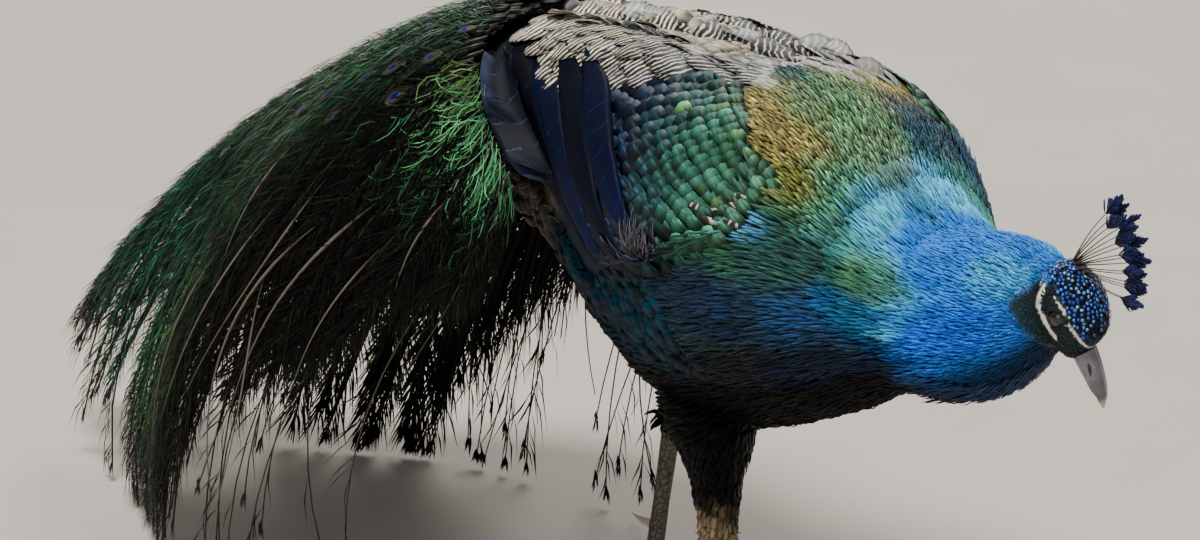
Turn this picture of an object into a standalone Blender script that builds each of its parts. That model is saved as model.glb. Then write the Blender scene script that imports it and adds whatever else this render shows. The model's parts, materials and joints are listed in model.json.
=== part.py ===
"""Indian peacock, life size: it stands in mid stride, leans forward and looks down.

Metres.  +X is the way the bird faces, +Y its left side, +Z up, and the floor is z = 0.
The trunk, neck and head are lofts parted by thin gaps.  Wings, bill, crest and thighs lie on
those lofts and are cut to them.  The train is one draped surface divided into locks.
"""

import math
from collections import namedtuple

import bmesh
import bpy
import numpy as np
from mathutils import Matrix, Vector

NAME = "peacock"
GAP = 0.0004  # space between neighbouring solids

# ---- stance --------------------------------------------------------------------------------
TRUNK_HEIGHT = 0.347  # floor to the middle of the trunk, where the body's own x and z are 0
NEAR_FOOT = Vector((0.056, -0.070, 0.0))  # right foot, under the breast
FAR_FOOT = Vector((-0.145, 0.070, 0.0))  # left foot, trailing
HOCK_HEIGHT = 0.143
NEAR_HOCK_SHIFT = 0.003  # how far the hock stands ahead of its foot
FAR_HOCK_SHIFT = 0.022

# ---- body ----------------------------------------------------------------------------------
Section = namedtuple("Section", "x z pitch half_width rise drop")
BODY = (
    Section(-0.304, 0.018, -14, 0.012, 0.010, 0.010),
    Section(-0.278, 0.022, -12, 0.040, 0.032, 0.034),
    Section(-0.235, 0.028, -8, 0.066, 0.058, 0.052),
    Section(-0.180, 0.028, 0, 0.082, 0.080, 0.058),
    Section(-0.105, 0.016, 0, 0.088, 0.102, 0.068),
    Section(-0.035, 0.002, 0, 0.111, 0.121, 0.119),
    Section(0.030, -0.006, 0, 0.125, 0.128, 0.138),
    Section(0.090, -0.008, 2, 0.128, 0.129, 0.116),
    Section(0.140, -0.008, 6, 0.117, 0.107, 0.090),
    Section(0.180, -0.010, 10, 0.086, 0.072, 0.064),
    Section(0.220, -0.010, 14, 0.064, 0.054, 0.064),
    Section(0.255, -0.003, 14, 0.052, 0.053, 0.056),
    Section(0.285, 0.007, 8, 0.043, 0.043, 0.043),
    Section(0.305, 0.011, 0, 0.030, 0.023, 0.029),
    Section(0.314, 0.012, 0, 0.012, 0.009, 0.012),
)
BODY_SIDES = 24
RING_STEP = 0.5  # rings of a loft, counted in sections
BACK_SQUARENESS = 2.3  # 2 is an ellipse
BELLY_SQUARENESS = 2.0
RUMP_TO_TRUNK = 2.5  # joints between the body's nodes, counted in sections
TRUNK_TO_BREAST = 6.5
BREAST_TO_NECK = 9.0
NECK_JOINT = 11.0

# ---- head, in a frame of its own: +X along the bill, +Y the bird's left, +Z the crown ---------
HEAD_AT = Vector((0.319, -0.004, 0.018))  # between the eyes, from the middle of the trunk
HEAD_PITCH = 60
HEAD_YAW = 12
HEAD = (
    Section(-0.039, -0.002, 0, 0.006, 0.0045, 0.006),
    Section(-0.034, -0.001, 0, 0.014, 0.0090, 0.014),
    Section(-0.022, 0.000, 0, 0.0195, 0.0190, 0.022),
    Section(-0.008, 0.000, 0, 0.0215, 0.0270, 0.024),
    Section(0.006, 0.000, 0, 0.0205, 0.0270, 0.024),
    Section(0.018, -0.001, 0, 0.0172, 0.0245, 0.0215),
    Section(0.0260, -0.003, 0, 0.0138, 0.0212, 0.0170),
    Section(0.0308, -0.005, 0, 0.0106, 0.0138, 0.0125),
    Section(0.0350, -0.008, 0, 0.0055, 0.0040, 0.0065),
)
HEAD_SIDES = 16
EYE_RADIUS = 0.0078
EYE_OUT = 0.0132  # eye's middle from the head's middle plane
EYE_AHEAD = 0.0030
EYE_UP = -0.0015
BILL_ROOT = 0.018
BILL_TIP = 0.0725
BILL_HALF_WIDTH = 0.0104
BILL_RISE = 0.0117  # culmen above the mouth's line at the root
BILL_DROP = 0.0052
MOUTH_LEVEL = -0.0060
HOOK = 0.0032
LOWER_BILL_TIP = 0.0645
CREST_AT = Vector((-0.0235, 0.0, 0.0222))
CREST_ROOT = (0.0070, 0.0034, 0.0055)  # half sizes of the knob that the stems stand on
CREST_LEAN = 12  # the fan's middle leans this far ahead of the crown's own up
CREST_SPREAD = 73
CREST_LENGTHS = (0.063, 0.055, 0.052)  # rear, middle and front stems
CREST_STEMS = 12
CREST_STAGGER = 0.04  # how much shorter every second and third stem is
CREST_SWAY = 0.10
STEM_RADIUS = 0.00035
CREST_VANE = ((0.70, 0.0010), (0.80, 0.0034), (0.92, 0.0028), (1.0, 0.0005))  # share of length, radius
CREST_VANE_THICKNESS = 0.0007

# ---- wings: lower and upper edges as (x from the middle of the trunk, angle above level) ------
WING_LOW_EDGE = ((-0.165, 50), (-0.089, 17), (-0.014, -2), (0.050, 7), (0.114, 22), (0.126, 34))
WING_TOP_EDGE = ((-0.165, 84), (-0.060, 84), (0.023, 80), (0.078, 60), (0.126, 45))
SCAPULAR_EDGE = ((-0.165, 56), (-0.103, 46), (-0.010, 64), (0.024, 76))
WING_REAR = -0.168
WING_FRONT = 0.120
WING_COLUMNS = 19
SCAPULAR_COLUMN = 11  # scapulars end at this column, counted from the rear
SECONDARY_COLUMN = 7  # secondaries end and coverts start at this one
FEATHER_SEAM = 0.18  # degrees left on each side of the scapulars' lower edge
WING_THICKNESS = 0.014
WING_ROOT_DEPTH = -0.006  # inner face, inside the body before the cut

# ---- train: four feather paths from the rump to the tips, ridge first, as Bezier points -------
TRAIN_PATHS = (
    ((-0.178, 0.000, 0.116), (-0.300, 0.000, 0.090), (-0.600, 0.000, -0.098), (-0.722, 0.000, -0.292)),
    ((-0.178, 0.044, 0.108), (-0.290, 0.085, 0.080), (-0.505, 0.125, -0.130), (-0.530, 0.088, -0.360)),
    ((-0.158, 0.084, 0.085), (-0.240, 0.138, 0.030), (-0.400, 0.168, -0.130), (-0.408, 0.152, -0.360)),
    ((-0.096, 0.110, 0.040), (-0.098, 0.128, -0.050), (-0.232, 0.168, -0.165), (-0.200, 0.168, -0.325)),
)
TRAIN_LOCKS = 11
TRAIN_TEETH = 3  # pointed ends of each lock
TRAIN_ROWS = 7
NOTCH_SHARE = 0.03  # of a lock's length, between its last two rows where two points meet
TOOTH_SHARE = (0.14, 0.55)  # how much of a lock's length its points take, at the ridge and hem
TRAIN_ROOT_THICKNESS = 0.006
TRAIN_THICKNESS = 0.016
TRAIN_TIP_THICKNESS = 0.0022

# ---- tail ----------------------------------------------------------------------------------
TAIL_ROOT = Vector((-0.300, 0.0, 0.004))
TAIL_LENGTH = 0.200
TAIL_SLOPE = 31
TAIL_FAN = 24
TAIL_QUILLS = 5
TAIL_THICKNESS = 0.003
TAIL_GAP = 0.02  # bare root inside the rump
TAIL_SAG = 0.025  # how far the outer feathers hang below the middle ones

# ---- legs ----------------------------------------------------------------------------------
THIGH_SIDES = 14
THIGH = ((0, 0.044), (0.50, 0.030), (0.70, 0.0200), (0.86, 0.0155), (1, 0.0130))  # knee to hock, radius
TARSUS_SIDES = 10
TARSUS_RADIUS = 0.0062
TARSUS_END_RADIUS = 0.0072
HOCK_RADIUS = 0.0092
HOCK_CAP = (0.007, 0.0080)  # how far the joint reaches over its middle, and its radius there
SPUR_HEIGHT = 0.055
SPUR_LENGTH = 0.024
SPUR = ((0, 0.0042), (0.35, 0.0034), (0.7, 0.0020), (1, 0.0004))  # share of length, radius
SPUR_SIDES = 8
TOES = (  # name, heading from straight ahead on a right foot, length, radius
    ("inner", 34, 0.050, 0.0050),
    ("middle", -2, 0.072, 0.0056),
    ("outer", -38, 0.056, 0.0050),
    ("hind", 168, 0.028, 0.0042),
)
TOE_SIDES = 6
TOE_PADS = 2.5
FOOT_HUB = (0.0100, 0.0090, 0.0078)  # half sizes
FOOT_HUB_HEIGHT = 0.0065
CLAW_LENGTH = 0.015
CLAW_RISE = 0.0036
CLAW = (0.0021, 0.0014, 0.0004)  # radii from a third of its length to its tip
ANKLE_HEIGHT = 0.013

COLOURS = {  # base colour, roughness, metallic
    "back": ((0.03, 0.20, 0.16), 0.45, 0.3),
    "green": ((0.06, 0.30, 0.10), 0.40, 0.4),
    "blue": ((0.02, 0.12, 0.50), 0.40, 0.4),
    "navy": ((0.01, 0.03, 0.12), 0.45, 0.3),
    "black": ((0.012, 0.012, 0.014), 0.60, 0.0),
    "barred": ((0.50, 0.45, 0.36), 0.70, 0.0),
    "train": ((0.03, 0.14, 0.07), 0.50, 0.3),
    "brown": ((0.16, 0.12, 0.09), 0.70, 0.0),
    "bill": ((0.42, 0.42, 0.43), 0.40, 0.0),
    "eye": ((0.03, 0.015, 0.008), 0.08, 0.0),
    "scale": ((0.30, 0.26, 0.22), 0.55, 0.0),
    "claw": ((0.10, 0.09, 0.08), 0.40, 0.0),
    "spur": ((0.72, 0.69, 0.62), 0.40, 0.0),
}


# ---- scene helpers -----------------------------------------------------------------------------
def clear_scene():
    for obj in list(bpy.data.objects):
        bpy.data.objects.remove(obj, do_unlink=True)


def new_collection(name):
    collection = bpy.data.collections.new(name)
    bpy.context.scene.collection.children.link(collection)
    return collection


def new_material(name, key):
    colour, roughness, metallic = COLOURS[key]
    material = bpy.data.materials.new(name)
    material.use_nodes = True
    shader = material.node_tree.nodes["Principled BSDF"]
    shader.inputs["Base Color"].default_value = (*colour, 1.0)
    shader.inputs["Roughness"].default_value = roughness
    shader.inputs["Metallic"].default_value = metallic
    material.diffuse_color = (*colour, 1.0)
    return material


def new_empty(name, matrix, parent=None):
    empty = bpy.data.objects.new(name, None)
    PARTS.objects.link(empty)
    empty.parent = parent
    empty.matrix_local = matrix
    return empty


def finish(name, bm, parent, colour=None):
    """A part of the bird from a bmesh, or a cutter when it has no colour."""
    bmesh.ops.recalc_face_normals(bm, faces=bm.faces)
    mesh = bpy.data.meshes.new(name)
    bm.to_mesh(mesh)
    bm.free()
    obj = bpy.data.objects.new(name, mesh)
    obj.parent = parent
    if colour:
        PARTS.objects.link(obj)
        mesh.materials.append(new_material(name, colour))
    else:
        CUTTERS.objects.link(obj)
        obj.hide_render = True
        obj.display_type = "WIRE"
    return obj


def combine(obj, other, operation):
    modifier = obj.modifiers.new(operation.title() + other.name[:30], "BOOLEAN")
    modifier.operation = operation
    modifier.object = other
    modifier.solver = "EXACT"


# ---- shape helpers -----------------------------------------------------------------------------
def smooth_rows(rows, place):
    """The row at a fractional place in a list of rows, on a Catmull-Rom curve through them."""
    rows = np.asarray(rows, float)
    last = len(rows) - 1
    i = int(min(max(math.floor(place), 0), last - 1))
    f = place - i
    before = rows[i - 1] if i else 2 * rows[0] - rows[1]
    after = rows[i + 2] if i + 2 <= last else 2 * rows[last] - rows[last - 1]
    a, b = rows[i], rows[i + 1]
    slope_a, slope_b = (b - before) / 2, (after - a) / 2
    return (
        (2 * f**3 - 3 * f**2 + 1) * a
        + (f**3 - 2 * f**2 + f) * slope_a
        + (3 * f**2 - 2 * f**3) * b
        + (f**3 - f**2) * slope_b
    )


def edge_angle(edge, x):
    return float(np.interp(x, [p[0] for p in edge], [p[1] for p in edge]))


def section_at(sections, place):
    section = Section(*smooth_rows(sections, place))
    pitch = math.radians(section.pitch)
    ahead = Vector((math.cos(pitch), 0, math.sin(pitch)))
    up = Vector((-math.sin(pitch), 0, math.cos(pitch)))
    return section, ahead, up


def on_section(sections, place, angle, grow=0.0):
    """A point on the loft: angle 0 is the bird's left, 90 degrees its back."""
    section, _, up = section_at(sections, place)
    c, s = math.cos(angle), math.sin(angle)
    power = 2 / (BACK_SQUARENESS if s > 0 else BELLY_SQUARENESS)
    out = math.copysign(abs(c) ** power, c) * (section.half_width + grow)
    height = section.rise if s > 0 else section.drop
    lift = math.copysign(abs(s) ** power, s) * (height + grow)
    return Vector((section.x, out, section.z)) + up * lift


def loft(sections, first, last, sides, grow=0.0):
    """A closed loft between two places of a list of sections."""
    bm = bmesh.new()
    loops = []
    for place in np.arange(first, last + RING_STEP / 2, RING_STEP):
        ring = [on_section(sections, place, 2 * math.pi * k / sides, grow) for k in range(sides)]
        loops.append(ring)
    for index, sign in ((0, -1), (-1, 1)):
        place = (first, last)[index]
        at_end = place in (0, len(sections) - 1)
        shift = section_at(sections, place)[1] * (sign * (grow if at_end else -GAP / 2))
        loops[index] = [point + shift for point in loops[index]]
    skin_loops(bm, loops)
    return bm


def skin_loops(bm, loops):
    """Joins rings of equal length with quads and caps both ends."""
    rows = [[bm.verts.new(p) for p in ring] for ring in loops]
    for a, b in zip(rows, rows[1:]):
        for k in range(len(a)):
            bm.faces.new((a[k - 1], a[k], b[k], b[k - 1]))
    bm.faces.new(rows[0][::-1])
    bm.faces.new(rows[-1])


def tube(points, radii, sides):
    """A tapering round bar through points, as a bmesh."""
    bm = bmesh.new()
    loops = []
    run = (points[-1] - points[0]).normalized()
    level = Vector((0, 1, 0)) if abs(run.z) > 0.7 else run.cross(Vector((0, 0, 1)))
    for i, (point, radius) in enumerate(zip(points, radii)):
        ahead = (points[min(i + 1, len(points) - 1)] - points[max(i - 1, 0)]).normalized()
        side = (level - ahead * level.dot(ahead)).normalized()
        up = side.cross(ahead)
        turns = [2 * math.pi * k / sides for k in range(sides)]
        loops.append([point + (side * math.cos(a) + up * math.sin(a)) * radius for a in turns])
    skin_loops(bm, loops)
    return bm


def split_quad(bm, corners, first):
    """Two triangles that share the edge from corner `first` to the one opposite."""
    a, b, c, d = corners[first:] + corners[:first]
    bm.faces.new((a, b, c))
    bm.faces.new((a, c, d))


def plate(outer, inner):
    """A closed solid from two grids of points of the same size, both split along the same lines."""
    bm = bmesh.new()
    rows, columns = len(outer), len(outer[0])
    top = [[bm.verts.new(p) for p in row] for row in outer]
    low = [[bm.verts.new(p) for p in row] for row in inner]
    for i in range(rows - 1):
        for j in range(columns - 1):
            rising = (outer[i][j] - outer[i + 1][j + 1]).length
            falling = (outer[i + 1][j] - outer[i][j + 1]).length
            first = int(falling < rising)
            split_quad(bm, [top[i][j], top[i + 1][j], top[i + 1][j + 1], top[i][j + 1]], first)
            around = [low[i][j], low[i][j + 1], low[i + 1][j + 1], low[i + 1][j]]
            split_quad(bm, around, first)
    rim = [(0, j) for j in range(columns)]
    rim += [(i, columns - 1) for i in range(1, rows)]
    rim += [(rows - 1, j) for j in range(columns - 2, -1, -1)]
    rim += [(i, 0) for i in range(rows - 2, 0, -1)]
    for (i, j), (m, n) in zip(rim, rim[1:] + rim[:1]):
        bm.faces.new((top[i][j], top[m][n], low[m][n], low[i][j]))
    return bm


def place_of_x(x):
    """The place among the body's sections whose middle has this x."""
    places = np.linspace(0, len(BODY) - 1, 400)
    return float(np.interp(x, [smooth_rows(BODY, p)[0] for p in places], places))


# ---- body --------------------------------------------------------------------------------------
def build_body():
    end = len(BODY) - 1
    nodes = (
        ("rump", 0, RUMP_TO_TRUNK, "green"),
        ("trunk", RUMP_TO_TRUNK, TRUNK_TO_BREAST, "back"),
        ("breast", TRUNK_TO_BREAST, BREAST_TO_NECK, "green"),
        ("neck_lower", BREAST_TO_NECK, NECK_JOINT, "blue"),
        ("neck_upper", NECK_JOINT, end, "blue"),
    )
    for name, first, last, colour in nodes:
        finish(name, loft(BODY, first, last, BODY_SIDES), TRUNK_FRAME, colour)
    return finish("body_cutter", loft(BODY, 0, end, BODY_SIDES, GAP), TRUNK_FRAME)


# ---- head --------------------------------------------------------------------------------------
def build_head():
    end = len(HEAD) - 1
    head = finish("head", loft(HEAD, 0, end, HEAD_SIDES), HEAD_FRAME, "blue")
    cutter = finish("head_cutter", loft(HEAD, 0, end, HEAD_SIDES, GAP), HEAD_FRAME)
    combine(bpy.data.objects["neck_upper"], cutter, "DIFFERENCE")
    for side, word in ((1, "left"), (-1, "right")):
        build_eye(head, side, word)
    build_bill(cutter)
    build_crest(cutter)


def build_eye(head, side, word):
    middle = Matrix.Translation((EYE_AHEAD, side * EYE_OUT, EYE_UP)) @ Matrix.Rotation(math.pi / 2, 4, "X")
    ball = bmesh.new()
    bmesh.ops.create_uvsphere(ball, u_segments=12, v_segments=8, radius=EYE_RADIUS, matrix=middle)
    finish("eye_" + word, ball, HEAD_FRAME, "eye")
    socket = bmesh.new()
    bmesh.ops.create_uvsphere(
        socket, u_segments=12, v_segments=8, radius=EYE_RADIUS + GAP, matrix=middle
    )
    cutter = finish("socket_" + word, socket, HEAD_FRAME)
    combine(head, cutter, "DIFFERENCE")
    combine(bpy.data.objects["neck_upper"], cutter, "DIFFERENCE")


def bill_half(tip, rise, drop, hook, sign):
    """One half of the bill: sign 1 arches over the mouth's line, -1 hangs below it."""
    bm = bmesh.new()
    loops = []
    for t in np.linspace(0, 1, 9):
        shrink = math.sqrt(max(1 - t**2.2, 0.004))
        x = BILL_ROOT + (tip - BILL_ROOT) * t
        line = MOUTH_LEVEL - hook * t**3 + sign * GAP / 2
        deep = (rise if sign > 0 else drop) * shrink
        wide = BILL_HALF_WIDTH * (0.16 + 0.84 * shrink) * (1 - 0.35 * t)
        arch = [math.pi * k / 7 for k in range(8)]
        loops.append(
            [Vector((x, wide * math.cos(a), line + sign * deep * math.sin(a) ** 0.85)) for a in arch]
        )
    skin_loops(bm, loops)
    return bm


def build_bill(head_cutter):
    upper = finish(
        "bill_upper", bill_half(BILL_TIP, BILL_RISE, 0, HOOK, 1), HEAD_FRAME, "bill"
    )
    lower = finish(
        "bill_lower", bill_half(LOWER_BILL_TIP, 0, BILL_DROP, HOOK, -1), HEAD_FRAME, "bill"
    )
    for half in (upper, lower):
        combine(half, head_cutter, "DIFFERENCE")


def build_crest(head_cutter):
    """A fan of bare stems, each with a small vane at its end, on one root."""
    root = bmesh.new()
    turn = Matrix.Rotation(math.radians(CREST_LEAN), 4, "Y")
    place = Matrix.Translation(CREST_AT) @ turn @ Matrix.Diagonal((*CREST_ROOT, 1))
    bmesh.ops.create_uvsphere(root, u_segments=10, v_segments=6, radius=1, matrix=place)
    crest = finish("crest", root, HEAD_FRAME, "navy")
    for k in range(CREST_STEMS):
        share = k / (CREST_STEMS - 1) - 0.5
        angle = math.radians(CREST_LEAN + CREST_SPREAD * share)
        ahead = Vector((math.sin(angle), CREST_SWAY * math.sin(2.4 * k), math.cos(angle)))
        length = np.interp(share, (-0.5, 0, 0.5), CREST_LENGTHS) * (1 - CREST_STAGGER * (k % 3))
        start = CREST_AT + Vector((CREST_ROOT[0] * share, 0, 0))
        shape = ((0, STEM_RADIUS), (CREST_VANE[0][0] - 0.02, STEM_RADIUS), *CREST_VANE)
        at = [start + ahead * float(length * f) for f, _ in shape]
        radii = [radius for _, radius in shape]
        stem = bmesh.new()
        loops = []
        for point, radius in zip(at, radii):
            across = Vector((math.cos(angle), 0, -math.sin(angle))) * radius
            thick = Vector((0, min(radius, CREST_VANE_THICKNESS), 0))
            loops.append([point + across, point + thick, point - across, point - thick])
        skin_loops(stem, loops)
        combine(crest, finish(f"crest_stem_{k:02d}", stem, HEAD_FRAME), "UNION")
    combine(crest, head_cutter, "DIFFERENCE")


# ---- wings -------------------------------------------------------------------------------------
def wing_lift(x, v, thickness):
    """How far the feathers stand off the trunk: thin at the front, the rear and the lower rim."""
    ahead = (x - WING_REAR) / (WING_FRONT - WING_REAR)
    swell = math.sqrt(max(1 - (2 * ahead - 0.75) ** 2 * 0.62, 0.14))
    return thickness * swell * (0.55 + 0.45 * math.sin(math.pi * min(v + 0.12, 1)))


def wing_piece(name, side, columns, low, high, rows, thickness, colour, body_cutter):
    """A shell on the trunk between two edges, over some of the wing's columns."""
    outer, inner = [], []
    for x in columns:
        place = place_of_x(x)
        bottom, top = edge_angle(low, x), edge_angle(high, x)
        across, under = [], []
        for v in np.linspace(0, 1, rows):
            angle = math.radians(bottom + (top - bottom) * v)
            angle = angle if side > 0 else math.pi - angle
            across.append(on_section(BODY, place, angle, wing_lift(x, v, thickness)))
            under.append(on_section(BODY, place, angle, WING_ROOT_DEPTH))
        outer.append(across)
        inner.append(under)
    piece = finish(name, plate(outer, inner), TRUNK_FRAME, colour)
    combine(piece, body_cutter, "DIFFERENCE")


def shifted(edge, degrees):
    return tuple((x, angle + degrees) for x, angle in edge)


def build_wings(body_cutter):
    columns = np.linspace(WING_REAR, WING_FRONT, WING_COLUMNS)
    rear = [*columns[:SECONDARY_COLUMN], columns[SECONDARY_COLUMN] - GAP]
    front = [columns[SECONDARY_COLUMN], *columns[SECONDARY_COLUMN + 1 :]]
    upper = columns[: SCAPULAR_COLUMN + 1]
    scapular_low = shifted(SCAPULAR_EDGE, FEATHER_SEAM)
    rear_top = shifted(SCAPULAR_EDGE, -FEATHER_SEAM)
    above = tuple(p for p in WING_TOP_EDGE if p[0] > SCAPULAR_EDGE[-1][0])
    covert_top = shifted(SCAPULAR_EDGE + above, -FEATHER_SEAM)
    groups = (
        ("scapulars_", upper, scapular_low, WING_TOP_EDGE, 4, 0.75, "barred"),
        ("secondaries_", rear, WING_LOW_EDGE, rear_top, 5, 0.95, "navy"),
        ("coverts_", front, WING_LOW_EDGE, covert_top, 5, 1.0, "green"),
    )
    for side, word in ((1, "left"), (-1, "right")):
        for name, xs, low, high, rows, share, colour in groups:
            lift = WING_THICKNESS * share
            wing_piece(name + word, side, xs, low, high, rows, lift, colour, body_cutter)


# ---- train -------------------------------------------------------------------------------------
def train_path(q):
    """The four Bezier points of the feather at q: 0 is the ridge, 1 and -1 the lower hems."""
    rows = [np.ravel(path) for path in TRAIN_PATHS]
    mirrored = rows[1] * np.tile((1, -1, 1), 4)
    place = abs(q) * (len(rows) - 1) + 1
    points = smooth_rows([mirrored, *rows], place).reshape(4, 3)
    return points * (1, math.copysign(1, q), 1)


def train_point(s, q):
    """A point of the train's middle surface; s runs from the rump to the tips."""
    a, b, c, d = train_path(q)
    r = 1 - s
    return Vector(a * r**3 + 3 * b * r * r * s + 3 * c * r * s * s + d * s**3)


def train_thickness(s):
    swell = (4 * s * (1 - s)) ** 0.7
    ends = TRAIN_ROOT_THICKNESS + (TRAIN_TIP_THICKNESS - TRAIN_ROOT_THICKNESS) * s
    return ends + (TRAIN_THICKNESS - TRAIN_ROOT_THICKNESS) * swell


def train_faces(s, q):
    """The upper and lower point of the train there, lifted where it would pass the floor."""
    step = 1e-3
    along = train_point(min(s + step, 1), q) - train_point(max(s - step, 0), q)
    across = train_point(s, q + step) - train_point(s, q - step)
    out = across.cross(along).normalized()
    middle, half = train_point(s, q), train_thickness(s) / 2
    upper, lower = middle + out * half, middle - out * half
    floor = -TRUNK_HEIGHT
    if lower.z < floor:
        upper.z = max(upper.z + floor - lower.z, floor + TRAIN_TIP_THICKNESS)
        lower.z = floor
    return upper, lower


def train_rows(tooth, pointed):
    """Where a lock's rows lie along it: all but the last are the same on and between its points."""
    root_of_points = 1 - tooth
    shared = np.linspace(0, root_of_points, TRAIN_ROWS - 1)
    if pointed:
        return [*shared, 1]
    return [*shared[:-1], root_of_points - NOTCH_SHARE, root_of_points]


def build_train():
    width = 2 / TRAIN_LOCKS
    columns = 2 * TRAIN_TEETH + 1
    for k in range(TRAIN_LOCKS):
        left = 1 - k * width
        tooth = np.interp(abs(left - width / 2), (0.3, 0.9), TOOTH_SHARE)
        rows = train_rows(tooth, False), train_rows(tooth, True)
        outer, inner = [], []
        for i in range(TRAIN_ROWS):
            across, under = [], []
            for j in range(columns):
                q = left - 0.004 - (width - 0.008) * j / (columns - 1)
                upper, lower = train_faces(rows[j % 2][i], q)
                across.append(upper)
                under.append(lower)
            outer.append(across)
            inner.append(under)
        finish(f"train_{k:02d}", plate(outer, inner), TRUNK_FRAME, "train")


def build_tail():
    """Stiff feathers under the train, in a shallow fan."""
    slope = math.radians(TAIL_SLOPE)
    columns = 2 * TAIL_QUILLS + 1
    outer, inner = [], []
    for row in np.linspace(0, 1, 4):
        across, under = [], []
        for j in range(columns):
            share = 2 * j / (columns - 1) - 1
            turn = math.radians(TAIL_FAN) * share
            reach = TAIL_LENGTH * (1 if j % 2 else 0.93) * (1 - 0.2 * share**2)
            run = TAIL_GAP + row * reach
            point = TAIL_ROOT + Vector(
                (
                    -run * math.cos(turn) * math.cos(slope),
                    run * math.sin(turn),
                    -run * math.cos(turn) * math.sin(slope) - TAIL_SAG * share**2 * row,
                )
            )
            across.append(point + Vector((0, 0, TAIL_THICKNESS / 2)))
            under.append(point - Vector((0, 0, TAIL_THICKNESS / 2)))
        outer.append(across)
        inner.append(under)
    finish("tail", plate(outer, inner), TRUNK_FRAME, "brown")


# ---- legs --------------------------------------------------------------------------------------
def build_leg(side, word, foot, hock_shift, knee, body_cutter):
    """Feathered thigh, scaly tarsus with its spur, and a foot with four toes."""
    frame = new_empty("leg_" + word, Matrix.Translation(foot), ROOT)
    hock = Vector((hock_shift, 0, HOCK_HEIGHT))
    knee = knee - foot
    ankle = Vector((0, 0, ANKLE_HEIGHT))
    cap = hock + Vector((0, 0, HOCK_CAP[0]))
    bar = [cap, hock, hock.lerp(ankle, 0.10), hock.lerp(ankle, 0.5), ankle]
    radii = (HOCK_CAP[1], HOCK_RADIUS, TARSUS_END_RADIUS, TARSUS_RADIUS, TARSUS_END_RADIUS)
    tarsus = finish("tarsus_" + word, tube(bar, radii, TARSUS_SIDES), frame, "scale")
    wide = tube([cap + Vector((0, 0, GAP)), *bar[1:]], [r + GAP for r in radii], TARSUS_SIDES)
    cutter = finish("tarsus_cutter_" + word, wide, frame)
    path = [knee.lerp(hock, share) for share, _ in THIGH]
    sleeve = tube(path, [radius for _, radius in THIGH], THIGH_SIDES)
    thigh = finish("thigh_" + word, sleeve, frame, "black")
    combine(thigh, cutter, "DIFFERENCE")
    combine(thigh, body_cutter, "DIFFERENCE")
    build_spur(frame, word, hock, ankle, cutter)
    build_foot(frame, side, word, cutter)


def build_spur(frame, word, hock, ankle, tarsus_cutter):
    share = (HOCK_HEIGHT - SPUR_HEIGHT) / (HOCK_HEIGHT - ANKLE_HEIGHT)
    root = hock.lerp(ankle, share) + Vector((-0.003, 0, 0))
    path = [
        root + Vector((-SPUR_LENGTH * t, 0, SPUR_LENGTH * (0.10 * t - 0.30 * t * (1 - t))))
        for t, _ in SPUR
    ]
    horn = tube(path, [radius for _, radius in SPUR], SPUR_SIDES)
    spur = finish("spur_" + word, horn, frame, "spur")
    combine(spur, tarsus_cutter, "DIFFERENCE")


def build_foot(frame, side, word, tarsus_cutter):
    """Toes joined at the ankle, cut flat where they stand."""
    hub = bmesh.new()
    place = Matrix.Translation((0, 0, FOOT_HUB_HEIGHT)) @ Matrix.Diagonal((*FOOT_HUB, 1))
    bmesh.ops.create_uvsphere(hub, u_segments=10, v_segments=6, radius=1, matrix=place)
    foot = finish("foot_" + word, hub, frame, "scale")
    floor = bmesh.new()
    block = Matrix.Translation((0, 0, -0.05)) @ Matrix.Diagonal((0.4, 0.4, 0.1, 1))
    bmesh.ops.create_cube(floor, size=1, matrix=block)
    floor = finish("floor_cutter_" + word, floor, frame)
    for name, heading, length, radius in TOES:
        turn = math.radians(heading * -side)
        ahead = Vector((math.cos(turn), math.sin(turn), 0))
        points, radii = [], []
        for t in np.linspace(0, 1, 6):
            pad = 1 + 0.08 * math.cos(2 * math.pi * TOE_PADS * t)
            r = radius * (1.05 - 0.30 * t) * pad
            points.append(ahead * (0.002 + (length - 0.002) * t) + Vector((0, 0, r * 0.86)))
            radii.append(r)
        toe = finish(f"toe_{name}_{word}", tube(points, radii, TOE_SIDES), frame)
        combine(foot, toe, "UNION")
        build_claw(name, word, frame, ahead, length, radii[-1])
    combine(foot, floor, "DIFFERENCE")
    combine(foot, tarsus_cutter, "DIFFERENCE")


def build_claw(name, word, frame, ahead, length, radius):
    points = [
        ahead * (length + GAP + CLAW_LENGTH * t)
        + Vector((0, 0, CLAW_RISE + 0.0022 * t - 0.0046 * t * t))
        for t in (0, 0.35, 0.7, 1)
    ]
    horn = tube(points, (radius * 0.72, *CLAW), TOE_SIDES)
    finish(f"claw_{name}_{word}", horn, frame, "claw")


# ---- assembly ----------------------------------------------------------------------------------
def centre_on_floor():
    """Moves the whole bird so that the middle of its box is over the origin."""
    bpy.context.view_layer.update()
    graph = bpy.context.evaluated_depsgraph_get()
    points = []
    for obj in PARTS.objects:
        if obj.type == "MESH":
            shape = obj.evaluated_get(graph)
            points += [shape.matrix_world @ vert.co for vert in shape.data.vertices]
    middle = (np.min(points, axis=0) + np.max(points, axis=0)) / 2
    ROOT.location = (-middle[0], -middle[1], 0)


clear_scene()
PARTS = new_collection(NAME)
CUTTERS = new_collection("cutters")
CUTTERS.hide_render = True
ROOT = new_empty("root", Matrix())
TRUNK_FRAME = new_empty("trunk_frame", Matrix.Translation((0, 0, TRUNK_HEIGHT)), ROOT)
HEAD_TURN = Matrix.Rotation(math.radians(HEAD_YAW), 4, "Z") @ Matrix.Rotation(
    math.radians(HEAD_PITCH), 4, "Y"
)
HEAD_FRAME = new_empty("head_frame", Matrix.Translation(HEAD_AT) @ HEAD_TURN, TRUNK_FRAME)

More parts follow.
